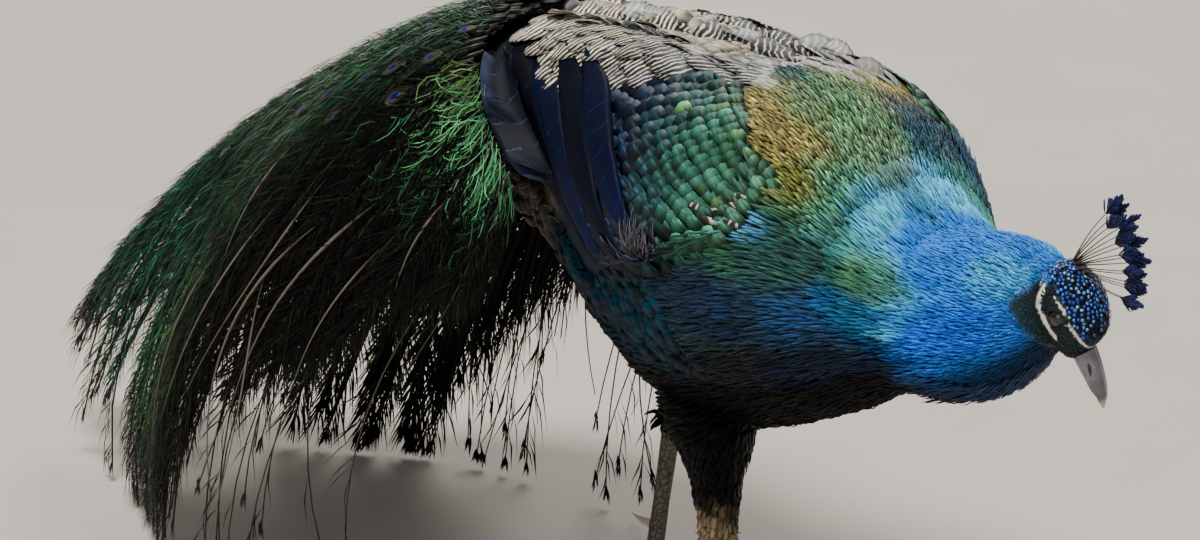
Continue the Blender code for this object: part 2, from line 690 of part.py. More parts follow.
body = build_body()
build_head()
build_wings(body)
build_train()
build_tail()
build_leg(-1, "right", NEAR_FOOT, NEAR_HOCK_SHIFT, Vector((0.042, -0.060, 0.290)), body)
build_leg(1, "left", FAR_FOOT, FAR_HOCK_SHIFT, Vector((-0.020, 0.056, 0.300)), body)
centre_on_floor()
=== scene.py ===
"""Indian peacock, life size, in the looks of a museum model: skin, feathers, eyes, bill and legs over a packed solid.

Install it as an add-on, or run it whole.  Each group of pieces has its own operator, and the panel
"Peacock" in the 3D view's sidebar holds the settings.  Metres, +X the way the bird faces, +Z up.
"""

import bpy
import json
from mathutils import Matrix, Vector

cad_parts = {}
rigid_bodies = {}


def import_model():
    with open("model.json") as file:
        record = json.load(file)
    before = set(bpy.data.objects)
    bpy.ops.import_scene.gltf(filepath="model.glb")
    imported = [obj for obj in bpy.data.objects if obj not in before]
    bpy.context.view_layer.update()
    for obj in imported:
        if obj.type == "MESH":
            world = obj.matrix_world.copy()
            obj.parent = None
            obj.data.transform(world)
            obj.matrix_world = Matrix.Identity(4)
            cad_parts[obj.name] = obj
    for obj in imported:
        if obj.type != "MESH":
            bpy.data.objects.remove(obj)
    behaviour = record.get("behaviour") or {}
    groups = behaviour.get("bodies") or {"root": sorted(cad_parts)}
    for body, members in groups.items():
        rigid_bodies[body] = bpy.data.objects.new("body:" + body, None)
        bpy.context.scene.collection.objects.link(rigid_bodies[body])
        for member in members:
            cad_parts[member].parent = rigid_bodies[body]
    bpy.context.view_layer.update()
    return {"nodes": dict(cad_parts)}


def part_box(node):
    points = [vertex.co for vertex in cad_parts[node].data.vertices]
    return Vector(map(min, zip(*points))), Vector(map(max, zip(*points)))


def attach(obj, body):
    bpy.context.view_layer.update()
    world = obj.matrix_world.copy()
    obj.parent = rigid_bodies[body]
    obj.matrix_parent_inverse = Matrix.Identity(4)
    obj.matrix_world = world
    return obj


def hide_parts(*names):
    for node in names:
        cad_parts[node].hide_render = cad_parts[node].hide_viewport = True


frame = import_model()

import json
import math

import bmesh
import bpy
import numpy as np
from mathutils import Matrix, Vector
from mathutils.bvhtree import BVHTree

bl_info = {
    "name": "Peacock",
    "version": (1, 0, 0),
    "blender": (4, 5, 0),
    "location": "3D View > Sidebar > Peacock",
    "description": "Feathers, skin, eyes, bill and legs of a life-size peacock",
    "category": "Object",
}

# ---- places, in the trunk's own frame (metres) ---------------------------------------------
NODES = frame["nodes"]
EYES = [sum(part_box("eye_" + word), Vector()) / 2 for word in ("left", "right")]
HEAD_AT = Vector((0.319, -0.004, 0.018))
EYE_AHEAD = 0.0030
EYE_OUT = 0.0132
EYE_UP = -0.0015
EYE_RADIUS = 0.0076
LID_RADIUS = 0.0078
HEAD_TURN = Matrix.Rotation(math.radians(12), 4, "Z") @ Matrix.Rotation(math.radians(60), 4, "Y")
TRUNK = Matrix.Translation((EYES[0] + EYES[1]) / 2 - HEAD_AT - HEAD_TURN @ Vector((EYE_AHEAD, 0, EYE_UP)))
HEAD = TRUNK @ Matrix.Translation(HEAD_AT) @ HEAD_TURN
MIDDLE = np.array(TRUNK.translation)

# x, z, half width, rise, drop of the body's sections, in centimetres
SECTIONS = np.array(
    (
        (-30.4, 1.8, 1.2, 1.0, 1.0),
        (-23.5, 2.8, 6.6, 5.8, 5.2),
        (-18.0, 2.8, 8.2, 8.0, 5.8),
        (-10.5, 1.6, 8.8, 10.2, 6.8),
        (-3.5, 0.2, 11.1, 12.1, 11.9),
        (3.0, -0.6, 12.5, 12.8, 13.8),
        (9.0, -0.8, 12.8, 12.9, 11.6),
        (14.0, -0.8, 11.7, 10.7, 9.0),
        (18.0, -1.0, 8.6, 7.2, 6.4),
        (22.0, -1.0, 6.4, 5.4, 6.4),
        (25.5, -0.3, 5.2, 5.3, 5.6),
        (28.5, 0.7, 4.3, 4.3, 4.3),
        (31.4, 1.2, 1.2, 0.9, 1.2),
    )
)
# four rows of the near half of the train, from the ridge to the lower hem, each a curve's four points
TRAIN_PATHS = (
    ((-0.178, 0.000, 0.116), (-0.300, 0.000, 0.090), (-0.600, 0.000, -0.098), (-0.722, 0.000, -0.292)),
    ((-0.178, 0.044, 0.108), (-0.290, 0.085, 0.080), (-0.505, 0.125, -0.130), (-0.530, 0.088, -0.360)),
    ((-0.158, 0.084, 0.085), (-0.240, 0.138, 0.030), (-0.400, 0.168, -0.130), (-0.408, 0.152, -0.360)),
    ((-0.096, 0.110, 0.040), (-0.098, 0.128, -0.050), (-0.232, 0.168, -0.165), (-0.200, 0.168, -0.325)),
)
TRAIN_LOCKS = [f"train_{k:02d}" for k in range(11)]
# the bars of the shoulder are arcs round this place, this far apart
BAR_CENTRE = (0.098, 0.112, 0.052)
BAR_SPACING = 0.0041
DOWN_TUFTS = 420
GREEN_DOWN = 4600
TAIL_FEATHERS = 18
CREST_STEMS = 17
CREST_BARBS = 74


# ---- colours -------------------------------------------------------------------------------
def shade(red, green, blue):
    """Linear colour from 0 to 255 display values."""
    return tuple((c / 255) ** 2.2 for c in (red, green, blue))


GREEN = shade(48, 102, 74)
BRIGHT_GREEN = shade(104, 166, 108)
CAPE_GREEN = shade(104, 156, 110)
BRONZE = shade(164, 152, 88)
TEAL = shade(46, 88, 88)
DARK_TEAL = shade(12, 30, 44)
NAVY = shade(14, 34, 78)
BLACK = shade(7, 9, 8)
# the neck's blue with a painted highlight, lighter where light falls on it
HIGHLIT_BLUE = shade(102, 206, 255)
BLUE = shade(62, 142, 255)
DEEP_BLUE = shade(36, 106, 232)
CREAM = shade(222, 212, 190)
GREY_CREAM = shade(200, 198, 190)
BROWN = shade(84, 62, 46)
WHITE = shade(238, 236, 224)

# x in centimetres and the colour of the upper side there
ALONG_BACK = (
    (-30, shade(40, 90, 60)),
    (-16, DARK_TEAL),
    (2, DARK_TEAL),
    (6, TEAL),
    (9, shade(66, 120, 92)),
    (12, CAPE_GREEN),
    (14.6, shade(92, 170, 136)),
    # painted highlight: the lighter band of sky-blue at the neck's base
    (16.5, HIGHLIT_BLUE),
    (17.8, HIGHLIT_BLUE),
    (19.4, BLUE),
    (31, BLUE),
)
# how far the bands of the back reach forward at each angle
BAND_ANGLES = (-25, 5, 23, 47, 78)
BAND_SHIFTS = (1.0, 5.2, 4.7, 1.4, 0)
# x and angle of a patch's middle, its reach in both, its colour and its strength
PATCHES = (
    (9.3, 66, 4.8, 20, BRONZE, 1.0),
    (12.6, 47, 2.6, 10, shade(136, 140, 66), 0.9),
    (11.4, 84, 3.6, 14, CAPE_GREEN, 0.7),
    (15.2, 86, 2.4, 16, shade(120, 150, 110), 0.8),
    (18.6, 92, 2.2, 16, shade(66, 116, 136), 0.7),
    (13.0, 24, 5.5, 14, GREEN, 0.95),
    (16.0, 19, 3.6, 13, TEAL, 0.8),
    (17.6, 34, 2.6, 9, shade(80, 150, 150), 0.7),
    (20.2, 24, 1.6, 16, shade(116, 156, 84), 0.55),
    (12.5, 0, 7.0, 13, shade(20, 48, 84), 0.95),
    (18.6, 5, 4.0, 12, shade(34, 84, 140), 0.85),
    (18.5, -11, 5.0, 9, shade(22, 60, 100), 0.95),
    (20.9, 22, 2.4, 12, shade(70, 122, 100), 0.75),
    (24.0, 8, 2.6, 14, shade(60, 128, 210), 0.6),
    (26.0, -6, 3.6, 22, DEEP_BLUE, 0.8),
    # painted highlight: sky-blue on the upper neck near the head
    (28.5, 45, 2.6, 26, HIGHLIT_BLUE, 0.6),
    (12.4, 29, 1.9, 5.5, shade(96, 172, 220), 1.0),
    (13.5, -22, 10.0, 14, shade(12, 26, 40), 1.0),
    (19.0, -25, 4.5, 12, shade(18, 42, 76), 0.95),
    (1.5, -10, 9.0, 24, shade(12, 58, 76), 0.95),
    (-11.5, 0, 4.5, 44, shade(104, 95, 84), 0.95),
)
# middles of the bare white strokes of the face, ahead and up in centimetres, and their half widths
WHITE_LINES = (
    ((-1.95, 0.25), (-1.45, -0.50), (-0.81, -0.92), (0.48, -1.09), (1.60, -0.98)),
    ((-0.66, 0.65), (0.05, 0.86), (0.55, 0.80)),
    ((1.07, 0.62), (2.30, 0.62), (3.53, 0.42)),
)
WHITE_HALF_WIDTHS = (0.20, 0.11, 0.11)


def soft(low, high, value):
    """A smooth step from 0 at low to 1 at high."""
    t = np.clip((value - low) / (high - low), 0, 1)
    return t * t * (3 - 2 * t)


def ripple(points, scale, seed):
    """Smooth noise between -1 and 1 from a few crossed waves."""
    rng = np.random.default_rng(seed)
    total = np.zeros(len(points))
    for _ in range(6):
        total += np.sin(points @ rng.normal(0, scale, 3) + rng.uniform(0, 2 * math.pi))
    return total / 6


def mixed(colours, other, share):
    """The colours with another mixed in by a share for each."""
    share = np.clip(share, 0, 1)[:, None]
    return colours * (1 - share) + np.asarray(other) * share


def body_place(points):
    """x in centimetres and the angle round the body: 90 is the back, 0 the side, -90 the belly."""
    x, y, z = (points * 100).T
    middle = np.interp(x, SECTIONS[:, 0], SECTIONS[:, 1])
    return x, y, np.degrees(np.arctan2(z - middle, np.abs(y)))


def body_colours(points):
    """The plumage's colour at points of the body, in the trunk's frame."""
    x, y, angle = body_place(points)
    x = x + 0.7 * ripple(points, 90, 1)
    angle = angle + 3.5 * ripple(points, 80, 2)
    along = np.array([place for place, _ in ALONG_BACK])
    shades = np.array([colour for _, colour in ALONG_BACK])
    banded = x - np.interp(angle, BAND_ANGLES, BAND_SHIFTS)
    colours = np.stack([np.interp(banded, along, shades[:, k]) for k in range(3)], 1)
    for px, pa, rx, ra, colour, strength in PATCHES:
        away = np.sqrt(((x - px) / rx) ** 2 + ((angle - pa) / ra) ** 2)
        colours = mixed(colours, colour, strength * soft(1.25, 0.55, away))
    # painted sheen: the far side's shoulder is painted blue-teal, as the plumage looks bluer seen at a grazing angle
    far = (y > 0) * soft(10, 12.5, x) * soft(17.5, 15, x) * soft(78, 66, angle) * soft(0, 25, angle)
    colours = mixed(colours, shade(22, 70, 104), 0.85 * far)
    back = soft(74, 82, angle) * soft(4.5, 2, x) * soft(-17, -13, x)
    colours = mixed(colours, CREAM, back)
    belly = soft(-20, -34, angle) * soft(22.5, 19.5, x + 0.06 * angle)
    colours = mixed(colours, BLACK, belly)
    # painted shade: the underside of the neck is darkened
    throat_shade = soft(-14, -55, angle) * soft(21, 24, x)
    return mixed(colours, shade(16, 34, 42), throat_shade * 0.9)


def away_from_line(points, line):
    """The distance of 2-D points from a line through the given places."""
    best = np.full(len(points), np.inf)
    for a, b in zip(line, line[1:]):
        a, run = np.array(a), np.subtract(b, a)
        t = np.clip((points - a) @ run / (run @ run), 0, 1)
        best = np.minimum(best, np.linalg.norm(points - a - t[:, None] * run, axis=1))
    return best


def white_share(ahead, up):
    """How much of the face is bare white skin there; places are in centimetres."""
    flat = np.stack((ahead, up), 1)
    share = np.zeros(len(flat))
    for line, half in zip(WHITE_LINES, WHITE_HALF_WIDTHS):
        share = np.maximum(share, soft(half + 0.06, half - 0.05, away_from_line(flat, line)))
    return share


def head_colours(places):
    """Colours of the head from places in its own frame, centimetres: ahead, left, up."""
    ahead, _, up = places.T
    speckle = ripple(places, 3.1, 3) + 0.7 * ripple(places, 6.3, 4)
    colours = mixed(np.tile(BLUE, (len(places), 1)), DEEP_BLUE, 0.5 + speckle)
    crown = soft(0.75, 1.25, up) * soft(-2.9, -2.2, ahead)
    colours = mixed(colours, BLACK, crown)
    face = soft(-2.4, -1.5, ahead) * soft(1.25, 0.85, up)
    colours = mixed(colours, shade(14, 40, 46), face)
    nape = soft(-3.6, -2.6, ahead) * soft(-1.2, -1.9, ahead) * soft(0.6, -0.1, up) * soft(-3.4, -2.2, up)
    colours = mixed(colours, BLACK, nape)
    chin = soft(-1.5, -2.1, up) * soft(-3.0, -1.5, ahead)
    colours = mixed(colours, shade(10, 54, 62), chin)
    return mixed(colours, WHITE, white_share(ahead, up))


def to_trunk(points):
    return np.asarray(points) - MIDDLE


def to_head(points):
    """Places in the head's frame, in centimetres."""
    inverse = np.array(HEAD.inverted())
    return (np.asarray(points) @ inverse[:3, :3].T + inverse[:3, 3]) * 100


def head_share(points):
    """1 on the head and 0 on the neck, with a short blend."""
    places = to_head(points)
    along = places[:, 0] + 0.25 * places[:, 2]
    near = np.linalg.norm(places, axis=1) < 7.5
    return soft(-3.0, -2.0, along) * soft(-3.0, -2.3, places[:, 2]) * near


def leg_share(points):
    """1 on the thighs below the belly."""
    places = to_trunk(points)
    return soft(-0.112, -0.128, places[:, 2]) * (places[:, 0] < 0.11)


def plumage(points):
    """The colour of skin and coat alike at points of the row's frame."""
    colours = body_colours(to_trunk(points))
    share = head_share(points)[:, None]
    colours = colours * (1 - share) + head_colours(to_head(points)) * share
    # painted shade: the thighs, buff in life, are painted black; only their lower ends below keep their own buff
    colours = mixed(colours, BLACK, leg_share(points))
    places = to_trunk(points) * 100
    low = soft(-17.2, -19.0, places[:, 2] + 1.2 * ripple(places, 1.6, 7)) * leg_share(points)
    low *= soft(0, 3, places[:, 0])
    return mixed(colours, shade(150, 132, 104), low * 0.8)


# ---- shape helpers -------------------------------------------------------------------------
def smooth_rows(rows, place):
    """The row at a fractional place in a list of rows, on a smooth curve through them."""
    rows = np.asarray(rows, float)
    last = len(rows) - 1
    i = int(min(max(math.floor(place), 0), last - 1))
    f = place - i
    before = rows[i - 1] if i else 2 * rows[0] - rows[1]
    after = rows[i + 2] if i + 2 <= last else 2 * rows[last] - rows[last - 1]
    a, b = rows[i], rows[i + 1]
    return (
        (2 * f**3 - 3 * f**2 + 1) * a
        + (f**3 - 2 * f**2 + f) * (b - before) / 2
        + (3 * f**2 - 2 * f**3) * b
        + (f**3 - f**2) * (after - a) / 2
    )


def train_point(s, q):
    """A point of the train: s is 0 at the rump and 1 at the tips, q 0 on the ridge, 1 and -1 at the hems."""
    rows = [np.ravel(path) for path in TRAIN_PATHS]
    mirrored = rows[1] * np.tile((1, -1, 1), 4)
    a, b, c, d = smooth_rows([mirrored, *rows], abs(q) * (len(rows) - 1) + 1).reshape(4, 3)
    r = 1 - s
    point = a * r**3 + 3 * b * r * r * s + 3 * c * r * s * s + d * s**3
    return MIDDLE + point * (1, math.copysign(1, q), 1)


def train_frame(s, q):
    """Point, direction towards the tips and outward direction there."""
    step = 2e-3
    along = train_point(min(s + step, 1), q) - train_point(max(s - step, 0), q)
    across = train_point(s, q + step) - train_point(s, q - step)
    out = np.cross(across, along)
    return train_point(s, q), unit(along), unit(out)


def train_frames(s, q):
    """Points, directions and outward directions for rows of s and q."""
    return tuple(np.array(column) for column in zip(*map(train_frame, s, q)))


def unit(vectors):
    vectors = np.asarray(vectors, float)
    return vectors / np.maximum(np.linalg.norm(vectors, axis=-1, keepdims=True), 1e-9)


def level(vectors, normals):
    """The part of each vector that lies in the surface."""
    return unit(vectors - normals * (vectors * normals).sum(-1, keepdims=True))


def linked(name, data):
    """A mesh, lamp or camera as an object in the scene."""
    made = bpy.data.objects.new(name, data)
    bpy.context.scene.collection.objects.link(made)
    return made


def dropped(obj):
    """Removes an object together with its mesh."""
    mesh = obj.data
    bpy.data.objects.remove(obj)
    bpy.data.meshes.remove(mesh)


def mesh_of(name, points, faces):
    mesh = bpy.data.meshes.new(name)
    mesh.from_pydata([tuple(p) for p in points], [], faces)
    return shaded_smooth(mesh)


def shaded_smooth(mesh):
    mesh.polygons.foreach_set("use_smooth", [True] * len(mesh.polygons))
    mesh.update()
    return mesh


def outward(mesh):
    """Turns the faces of every closed part of a mesh outwards."""
    bm = bmesh.new()
    bm.from_mesh(mesh)
    bmesh.ops.recalc_face_normals(bm, faces=bm.faces)
    bm.to_mesh(mesh)
    bm.free()
    return mesh


def put(mesh, name, kind, values, domain="POINT"):
    """Stores an array as an attribute of a mesh."""
    keys = {"FLOAT": "value", "FLOAT_VECTOR": "vector", "FLOAT2": "vector", "FLOAT_COLOR": "color"}
    made = mesh.attributes.get(name) or mesh.attributes.new(name, kind, domain)
    made.data.foreach_set(keys[kind], np.asarray(values, np.float32).ravel())


def facing_of(mesh):
    """The facing stored with each root."""
    return read_vectors(mesh.attributes["facing"].data, "vector")


def read_vectors(items, key):
    values = np.empty(len(items) * 3, np.float32)
    items.foreach_get(key, values)
    return values.reshape(-1, 3).astype(float)


def points_of(mesh):
    return read_vectors(mesh.vertices, "co")


def normals_of(mesh):
    return read_vectors(mesh.vertex_normals, "vector")


def set_points(mesh, points):
    mesh.vertices.foreach_set("co", np.asarray(points, np.float32).ravel())
    mesh.update()


def evaluated(obj, name):
    """The object's mesh with its modifiers applied, as a new mesh."""
    graph = bpy.context.evaluated_depsgraph_get()
    made = bpy.data.meshes.new_from_object(obj.evaluated_get(graph))
    made.name = name
    return made


def with_alpha(colours):
    return np.concatenate((colours, np.ones((len(colours), 1))), 1)


# ---- node helpers --------------------------------------------------------------------------
def add(tree, kind, inputs=(), **settings):
    """A node with its settings, its inputs given by name or number as values or sockets."""
    made = tree.nodes.new(kind)
    for key, value in settings.items():
        setattr(made, key, value)
    for key, value in dict(inputs).items():
        if isinstance(value, bpy.types.NodeSocket):
            tree.links.new(value, made.inputs[key])
        else:
            made.inputs[key].default_value = value
    return made


def maths(tree, operation, *values):
    return add(tree, "ShaderNodeMath", dict(enumerate(values)), operation=operation).outputs[0]


def times(tree, first, second):
    return maths(tree, "MULTIPLY", first, second)


def scaled(tree, value, factor, offset):
    """value * factor + offset."""
    return maths(tree, "MULTIPLY_ADD", value, factor, offset)


def parts(tree, vector):
    """The three parts of a vector."""
    return add(tree, "ShaderNodeSeparateXYZ", {0: vector}).outputs


def object_place(tree):
    return add(tree, "ShaderNodeTexCoord").outputs["Object"]


def noise(tree, scale, detail):
    """Cloudy values over the object's own coordinates."""
    inputs = {"Vector": object_place(tree), "Scale": scale, "Detail": detail}
    return add(tree, "ShaderNodeTexNoise", inputs).outputs[0]


def toned(tree, colour, value, saturation=1.0):
    """The colour made lighter or darker, and stronger or paler."""
    inputs = {"Saturation": saturation, "Value": value, "Color": colour}
    return add(tree, "ShaderNodeHueSaturation", inputs).outputs[0]


def bumped(tree, strength, distance, height):
    inputs = {"Strength": strength, "Distance": distance, "Height": height}
    return add(tree, "ShaderNodeBump", inputs).outputs[0]


def blended(tree, share, first, second):
    """The first colour where the share is 0 and the second where it is 1."""
    made = add(tree, "ShaderNodeMix", data_type="RGBA")
    for key, value in ((0, share), (6, first), (7, second)):
        if isinstance(value, bpy.types.NodeSocket):
            tree.links.new(value, made.inputs[key])
        else:
            made.inputs[key].default_value = value if key == 0 else (*value[:3], 1)
    return made.outputs[2]


def washed(tree, colour, mask, strength, other):
    """The colour with another laid over it at a strength where the mask is 1."""
    return blended(tree, times(tree, mask, strength), colour, other)


def ramp(tree, value, low, high):
    """0 below low and 1 above high, smooth between."""
    inputs = {"Value": value, "From Min": low, "From Max": high}
    return add(tree, "ShaderNodeMapRange", inputs, interpolation_type="SMOOTHSTEP").outputs[0]


def named(tree, name, kind="FLOAT_VECTOR"):
    return add(tree, "GeometryNodeInputNamedAttribute", {"Name": name}, data_type=kind).outputs[0]


def sockets(tree, ins, outs):
    """Gives a group its sockets, and returns those that lead in and out."""
    for direction, pairs in (("INPUT", ins), ("OUTPUT", outs)):
        for name, kind in pairs:
            tree.interface.new_socket(name, in_out=direction, socket_type="NodeSocket" + kind)
    entry, leave = tree.nodes.new("NodeGroupInput"), tree.nodes.new("NodeGroupOutput")
    return entry.outputs, leave.inputs


def stored(tree, geometry, name, value, kind, domain):
    inputs = {"Geometry": geometry, "Name": name, "Value": value}
    made = add(tree, "GeometryNodeStoreNamedAttribute", inputs, data_type=kind, domain=domain)
    return made.outputs[0]


def roots_tree():
    """Scatters feather roots over the marked zone of a skin."""
    tree = bpy.data.node_groups.new("feather_roots", "GeometryNodeTree")
    ins = (("Geometry", "Geometry"), ("Spacing", "Float"), ("Seed", "Int"))
    given, out = sockets(tree, ins, (("Geometry", "Geometry"),))
    inputs = {
        "Mesh": given["Geometry"],
        "Distance Min": given["Spacing"],
        "Density Max": 1e6,
        "Density Factor": named(tree, "zone", "FLOAT"),
        "Seed": given["Seed"],
    }
    spread = add(tree, "GeometryNodeDistributePointsOnFaces", inputs, distribute_method="POISSON").outputs
    points = stored(tree, spread["Points"], "facing", spread["Normal"], "FLOAT_VECTOR", "POINT")
    mesh = add(tree, "GeometryNodePointsToVertices", {"Points": points})
    tree.links.new(mesh.outputs[0], out["Geometry"])
    return tree


def tufts_tree():
    """Sets a vane on every root and gives each a patch of the unwrap at its root's place."""
    tree = bpy.data.node_groups.new("feather_tufts", "GeometryNodeTree")
    ins = (("Geometry", "Geometry"), ("Vane", "Object"), ("Patch", "Float"), ("Material", "Material"))
    given, out = sockets(tree, ins, (("Geometry", "Geometry"),))
    vane = add(tree, "GeometryNodeObjectInfo", {"Object": given["Vane"]})
    axes = {"Primary Axis": named(tree, "lie"), "Secondary Axis": named(tree, "facing")}
    turn = add(tree, "FunctionNodeAxesToRotation", axes, primary_axis="X", secondary_axis="Z")
    inputs = {
        "Points": given["Geometry"],
        "Instance": vane.outputs["Geometry"],
        "Rotation": turn.outputs[0],
        "Scale": named(tree, "size"),
    }
    placed = add(tree, "GeometryNodeInstanceOnPoints", inputs)
    last = add(tree, "GeometryNodeRealizeInstances", {"Geometry": placed.outputs[0]}).outputs[0]
    middle = {0: named(tree, "vane"), 1: (0.5, 0.5, 0.5), 2: (-0.25, 0, 0)}
    centred = add(tree, "ShaderNodeVectorMath", middle, operation="MULTIPLY_ADD").outputs[0]
    patch = add(tree, "ShaderNodeVectorMath", {0: centred, "Scale": given["Patch"]}, operation="SCALE")
    spot = {0: named(tree, "root_uv"), 1: patch.outputs[0]}
    place = add(tree, "ShaderNodeVectorMath", spot, operation="ADD").outputs[0]
    last = stored(tree, last, "OFBake", place, "FLOAT2", "CORNER")
    for name in ("lie", "facing", "size", "root_uv"):
        last = add(tree, "GeometryNodeRemoveAttribute", {"Geometry": last, "Name": name}).outputs[0]
    dress = add(tree, "GeometryNodeSetMaterial", {"Geometry": last, "Material": given["Material"]})
    tree.links.new(dress.outputs[0], out["Geometry"])
    return tree


def run_tree(obj, tree, **values):
    """Runs a geometry tree on an object and returns the mesh it makes."""
    modifier = obj.modifiers.new(tree.name, "NODES")
    modifier.node_group = tree
    for item in tree.interface.items_tree:
        if item.in_out == "INPUT" and item.name in values:
            modifier[item.identifier] = values[item.name]
    obj.update_tag()
    bpy.context.view_layer.update()
    made = evaluated(obj, obj.name)
    obj.modifiers.remove(modifier)
    return made


def tree_named(name, maker):
    return bpy.data.node_groups.get(name) or maker()


# ---- feather shapes ------------------------------------------------------------------------
# how far the middle rises over the edges, then along and half width of each station;
# both ends close to a point, and the vane bows out between them
VANES = {
    "hair": (0.060, ((0.35, 0.9), (0.75, 0.8))),
    "scale": (0.045, ((0.25, 0.62), (0.60, 1.0), (0.86, 0.80))),
    "broad": (0.035, ((0.15, 0.55), (0.40, 0.92), (0.65, 1.0), (0.84, 0.86), (0.95, 0.52))),
    "barb": (0.030, ((0.25, 1.0), (0.60, 0.85))),
    "needle": (0.020, ((0.45, 1.0),)),
    "curl": (0.020, ((0.12, 1.0), (0.36, 1.0), (0.64, 0.9), (0.88, 0.6))),
}


def vane_template(kind):
    """A closed thin vane along +X, one long and one wide each side, that main removes at the end."""
    name = "vane_" + kind
    if name in bpy.data.objects:
        return bpy.data.objects[name]
    crown, stations = VANES[kind]
    points, marks, faces = [(0, 0, 0)], [(0, 0, 0)], []
    for along, half in stations:
        bow = along * (1 - along)
        points += [(along, half, bow), (along, 0, bow + crown), (along, -half, bow)]
        points += [(along, 0, bow - crown * 0.35)]
        marks += [(along, 1, 0), (along, 0, 0), (along, -1, 0), (along, 0, 0)]
    points.append((1, 0, 0))
    marks.append((1, 0, 0))
    count, last = len(stations), len(points) - 1
    for k in range(4):
        n = (k + 1) % 4
        faces.append((0, 1 + k, 1 + n))
        for row in range(count - 1):
            a, b = 1 + 4 * row, 5 + 4 * row
            faces.append((a + k, b + k, b + n, a + n))
        end = 1 + 4 * (count - 1)
        faces.append((last, end + n, end + k))
    mesh = mesh_of(name, points, faces)
    put(mesh, "vane", "FLOAT_VECTOR", marks)
    return linked(name, mesh)


def unwrap_of(marks):
    """Two measures of the surface, stretched over the unwrap's square."""
    marks = np.asarray(marks, float)
    low, high = marks.min(0), marks.max(0)
    return 0.03 + 0.94 * (marks - low) / np.maximum(high - low, 1e-6)


def columns_of(rows):
    """Roots, directions, facings, sizes, colours and unwrap marks, from rows that hold one of each."""
    return [np.array(column, float) for column in zip(*rows)]


def coat(name, kind, roots, lie, facing, size, colours, marks, material, slot_name, nodes=(), shift=None):
    """One coat piece: vanes of a kind at the roots, riding on the bird."""
    cloud = bpy.data.meshes.new(name + "_roots")
    cloud.vertices.add(len(roots))
    set_points(cloud, roots)
    unwrap = np.pad(unwrap_of(marks), ((0, 0), (0, 1)))
    for key, values in (("lie", lie), ("facing", facing), ("size", size), ("root_uv", unwrap)):
        put(cloud, key, "FLOAT_VECTOR", values)
    put(cloud, "tint", "FLOAT_COLOR", with_alpha(colours))
    if shift is not None:
        put(cloud, "shift", "FLOAT", shift)
    holder = linked(name + "_roots", cloud)
    tree = tree_named("feather_tufts", tufts_tree)
    mesh = run_tree(holder, tree, Vane=vane_template(kind), Patch=0.003, Material=material)
    dropped(holder)
    return finished(name, mesh, nodes)


def coat_of_rows(name, kind, rows, height, colours, look, slot_name):
    """A coat piece from rows of root, direction, facing, length, half width and unwrap marks."""
    roots, lie, facing, long, wide, marks = np.split(rows, (3, 6, 9, 10, 11), axis=1)
    size = np.hstack((long, wide, long * height))
    return coat(name, kind, roots, lie, facing, size, colours, marks, feather_material(look), slot_name)


def finished(name, mesh, nodes=()):
    """Links a mesh as a piece that rides on the bird and says what it stands for."""
    mesh.name = name
    piece = linked(name, mesh)
    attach(piece, "root")
    if nodes:
        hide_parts(*nodes)
    return piece


def smooth_piece(name, mesh, material, nodes=()):
    mesh.materials.append(material)
    return finished(name, shaded_smooth(mesh), nodes)


# ---- materials -----------------------------------------------------------------------------
def material_named(name, maker, *args):
    """A material made once; the maker gets its tree and returns the shader's inputs."""
    made = bpy.data.materials.get(name)
    if made:
        return made
    made = bpy.data.materials.new(name)
    made.use_nodes = True
    tree = made.node_tree
    tree.nodes.clear()
    shader = add(tree, "ShaderNodeBsdfPrincipled", maker(tree, *args))
    out = add(tree, "ShaderNodeOutputMaterial", {"Surface": shader.outputs[0]})
    out.location = (300, 0)
    return made


def attribute(tree, name, output):
    return add(tree, "ShaderNodeAttribute", attribute_name=name).outputs[output]


def group(tree, maker, name, **inputs):
    """A node group, made once, with its inputs given by name."""
    made = tree.nodes.new("ShaderNodeGroup")
    made.node_tree = bpy.data.node_groups.get(name) or maker(name)
    for key, value in inputs.items():
        if isinstance(value, bpy.types.NodeSocket):
            tree.links.new(value, made.inputs[key])
        else:
            made.inputs[key].default_value = value
    return made.outputs


def barb_group(name):
    """Masks of a vane: its barbs, its rim and how near the tip it is."""
    tree = bpy.data.node_groups.new(name, "ShaderNodeTree")
    ins = (("Vane", "Vector"), ("Barbs", "Float"), ("Slant", "Float"), ("Edge", "Float"))
    outs = (("Barbs", "Float"), ("Rim", "Float"), ("Along", "Float"))
    given, out = sockets(tree, ins, outs)
    along, side, _ = parts(tree, given["Vane"])
    across = maths(tree, "ABSOLUTE", side)
    slanted = maths(tree, "SUBTRACT", along, times(tree, across, given["Slant"]))
    wave = maths(tree, "SINE", times(tree, slanted, given["Barbs"]))
    tree.links.new(scaled(tree, wave, 0.5, 0.5), out["Barbs"])
    ahead = ramp(tree, along, scaled(tree, given["Edge"], 0.6, 0.4), 1.0)
    rim = maths(tree, "MAXIMUM", ramp(tree, across, given["Edge"], 1.0), ahead)
    tree.links.new(rim, out["Rim"])
    tree.links.new(along, out["Along"])
    return tree


def mottle_group(name):
    """Soft brightness changes over the body, from the object's own coordinates."""
    tree = bpy.data.node_groups.new(name, "ShaderNodeTree")
    given, out = sockets(tree, (("Scale", "Float"),), (("Value", "Float"), ("Fine", "Float")))
    tree.links.new(noise(tree, given["Scale"], 3.0), out["Value"])
    tree.links.new(noise(tree, 900.0, 2.0), out["Fine"])
    return tree


def vane_marks(tree, barbs, slant, edge):
    """A vane's own places, its tint and the masks of its barbs and rim."""
    vane = attribute(tree, "vane", "Vector")
    marks = group(tree, barb_group, "barb_marks", Vane=vane, Barbs=barbs, Slant=slant, Edge=edge)
    return vane, attribute(tree, "tint", "Color"), marks


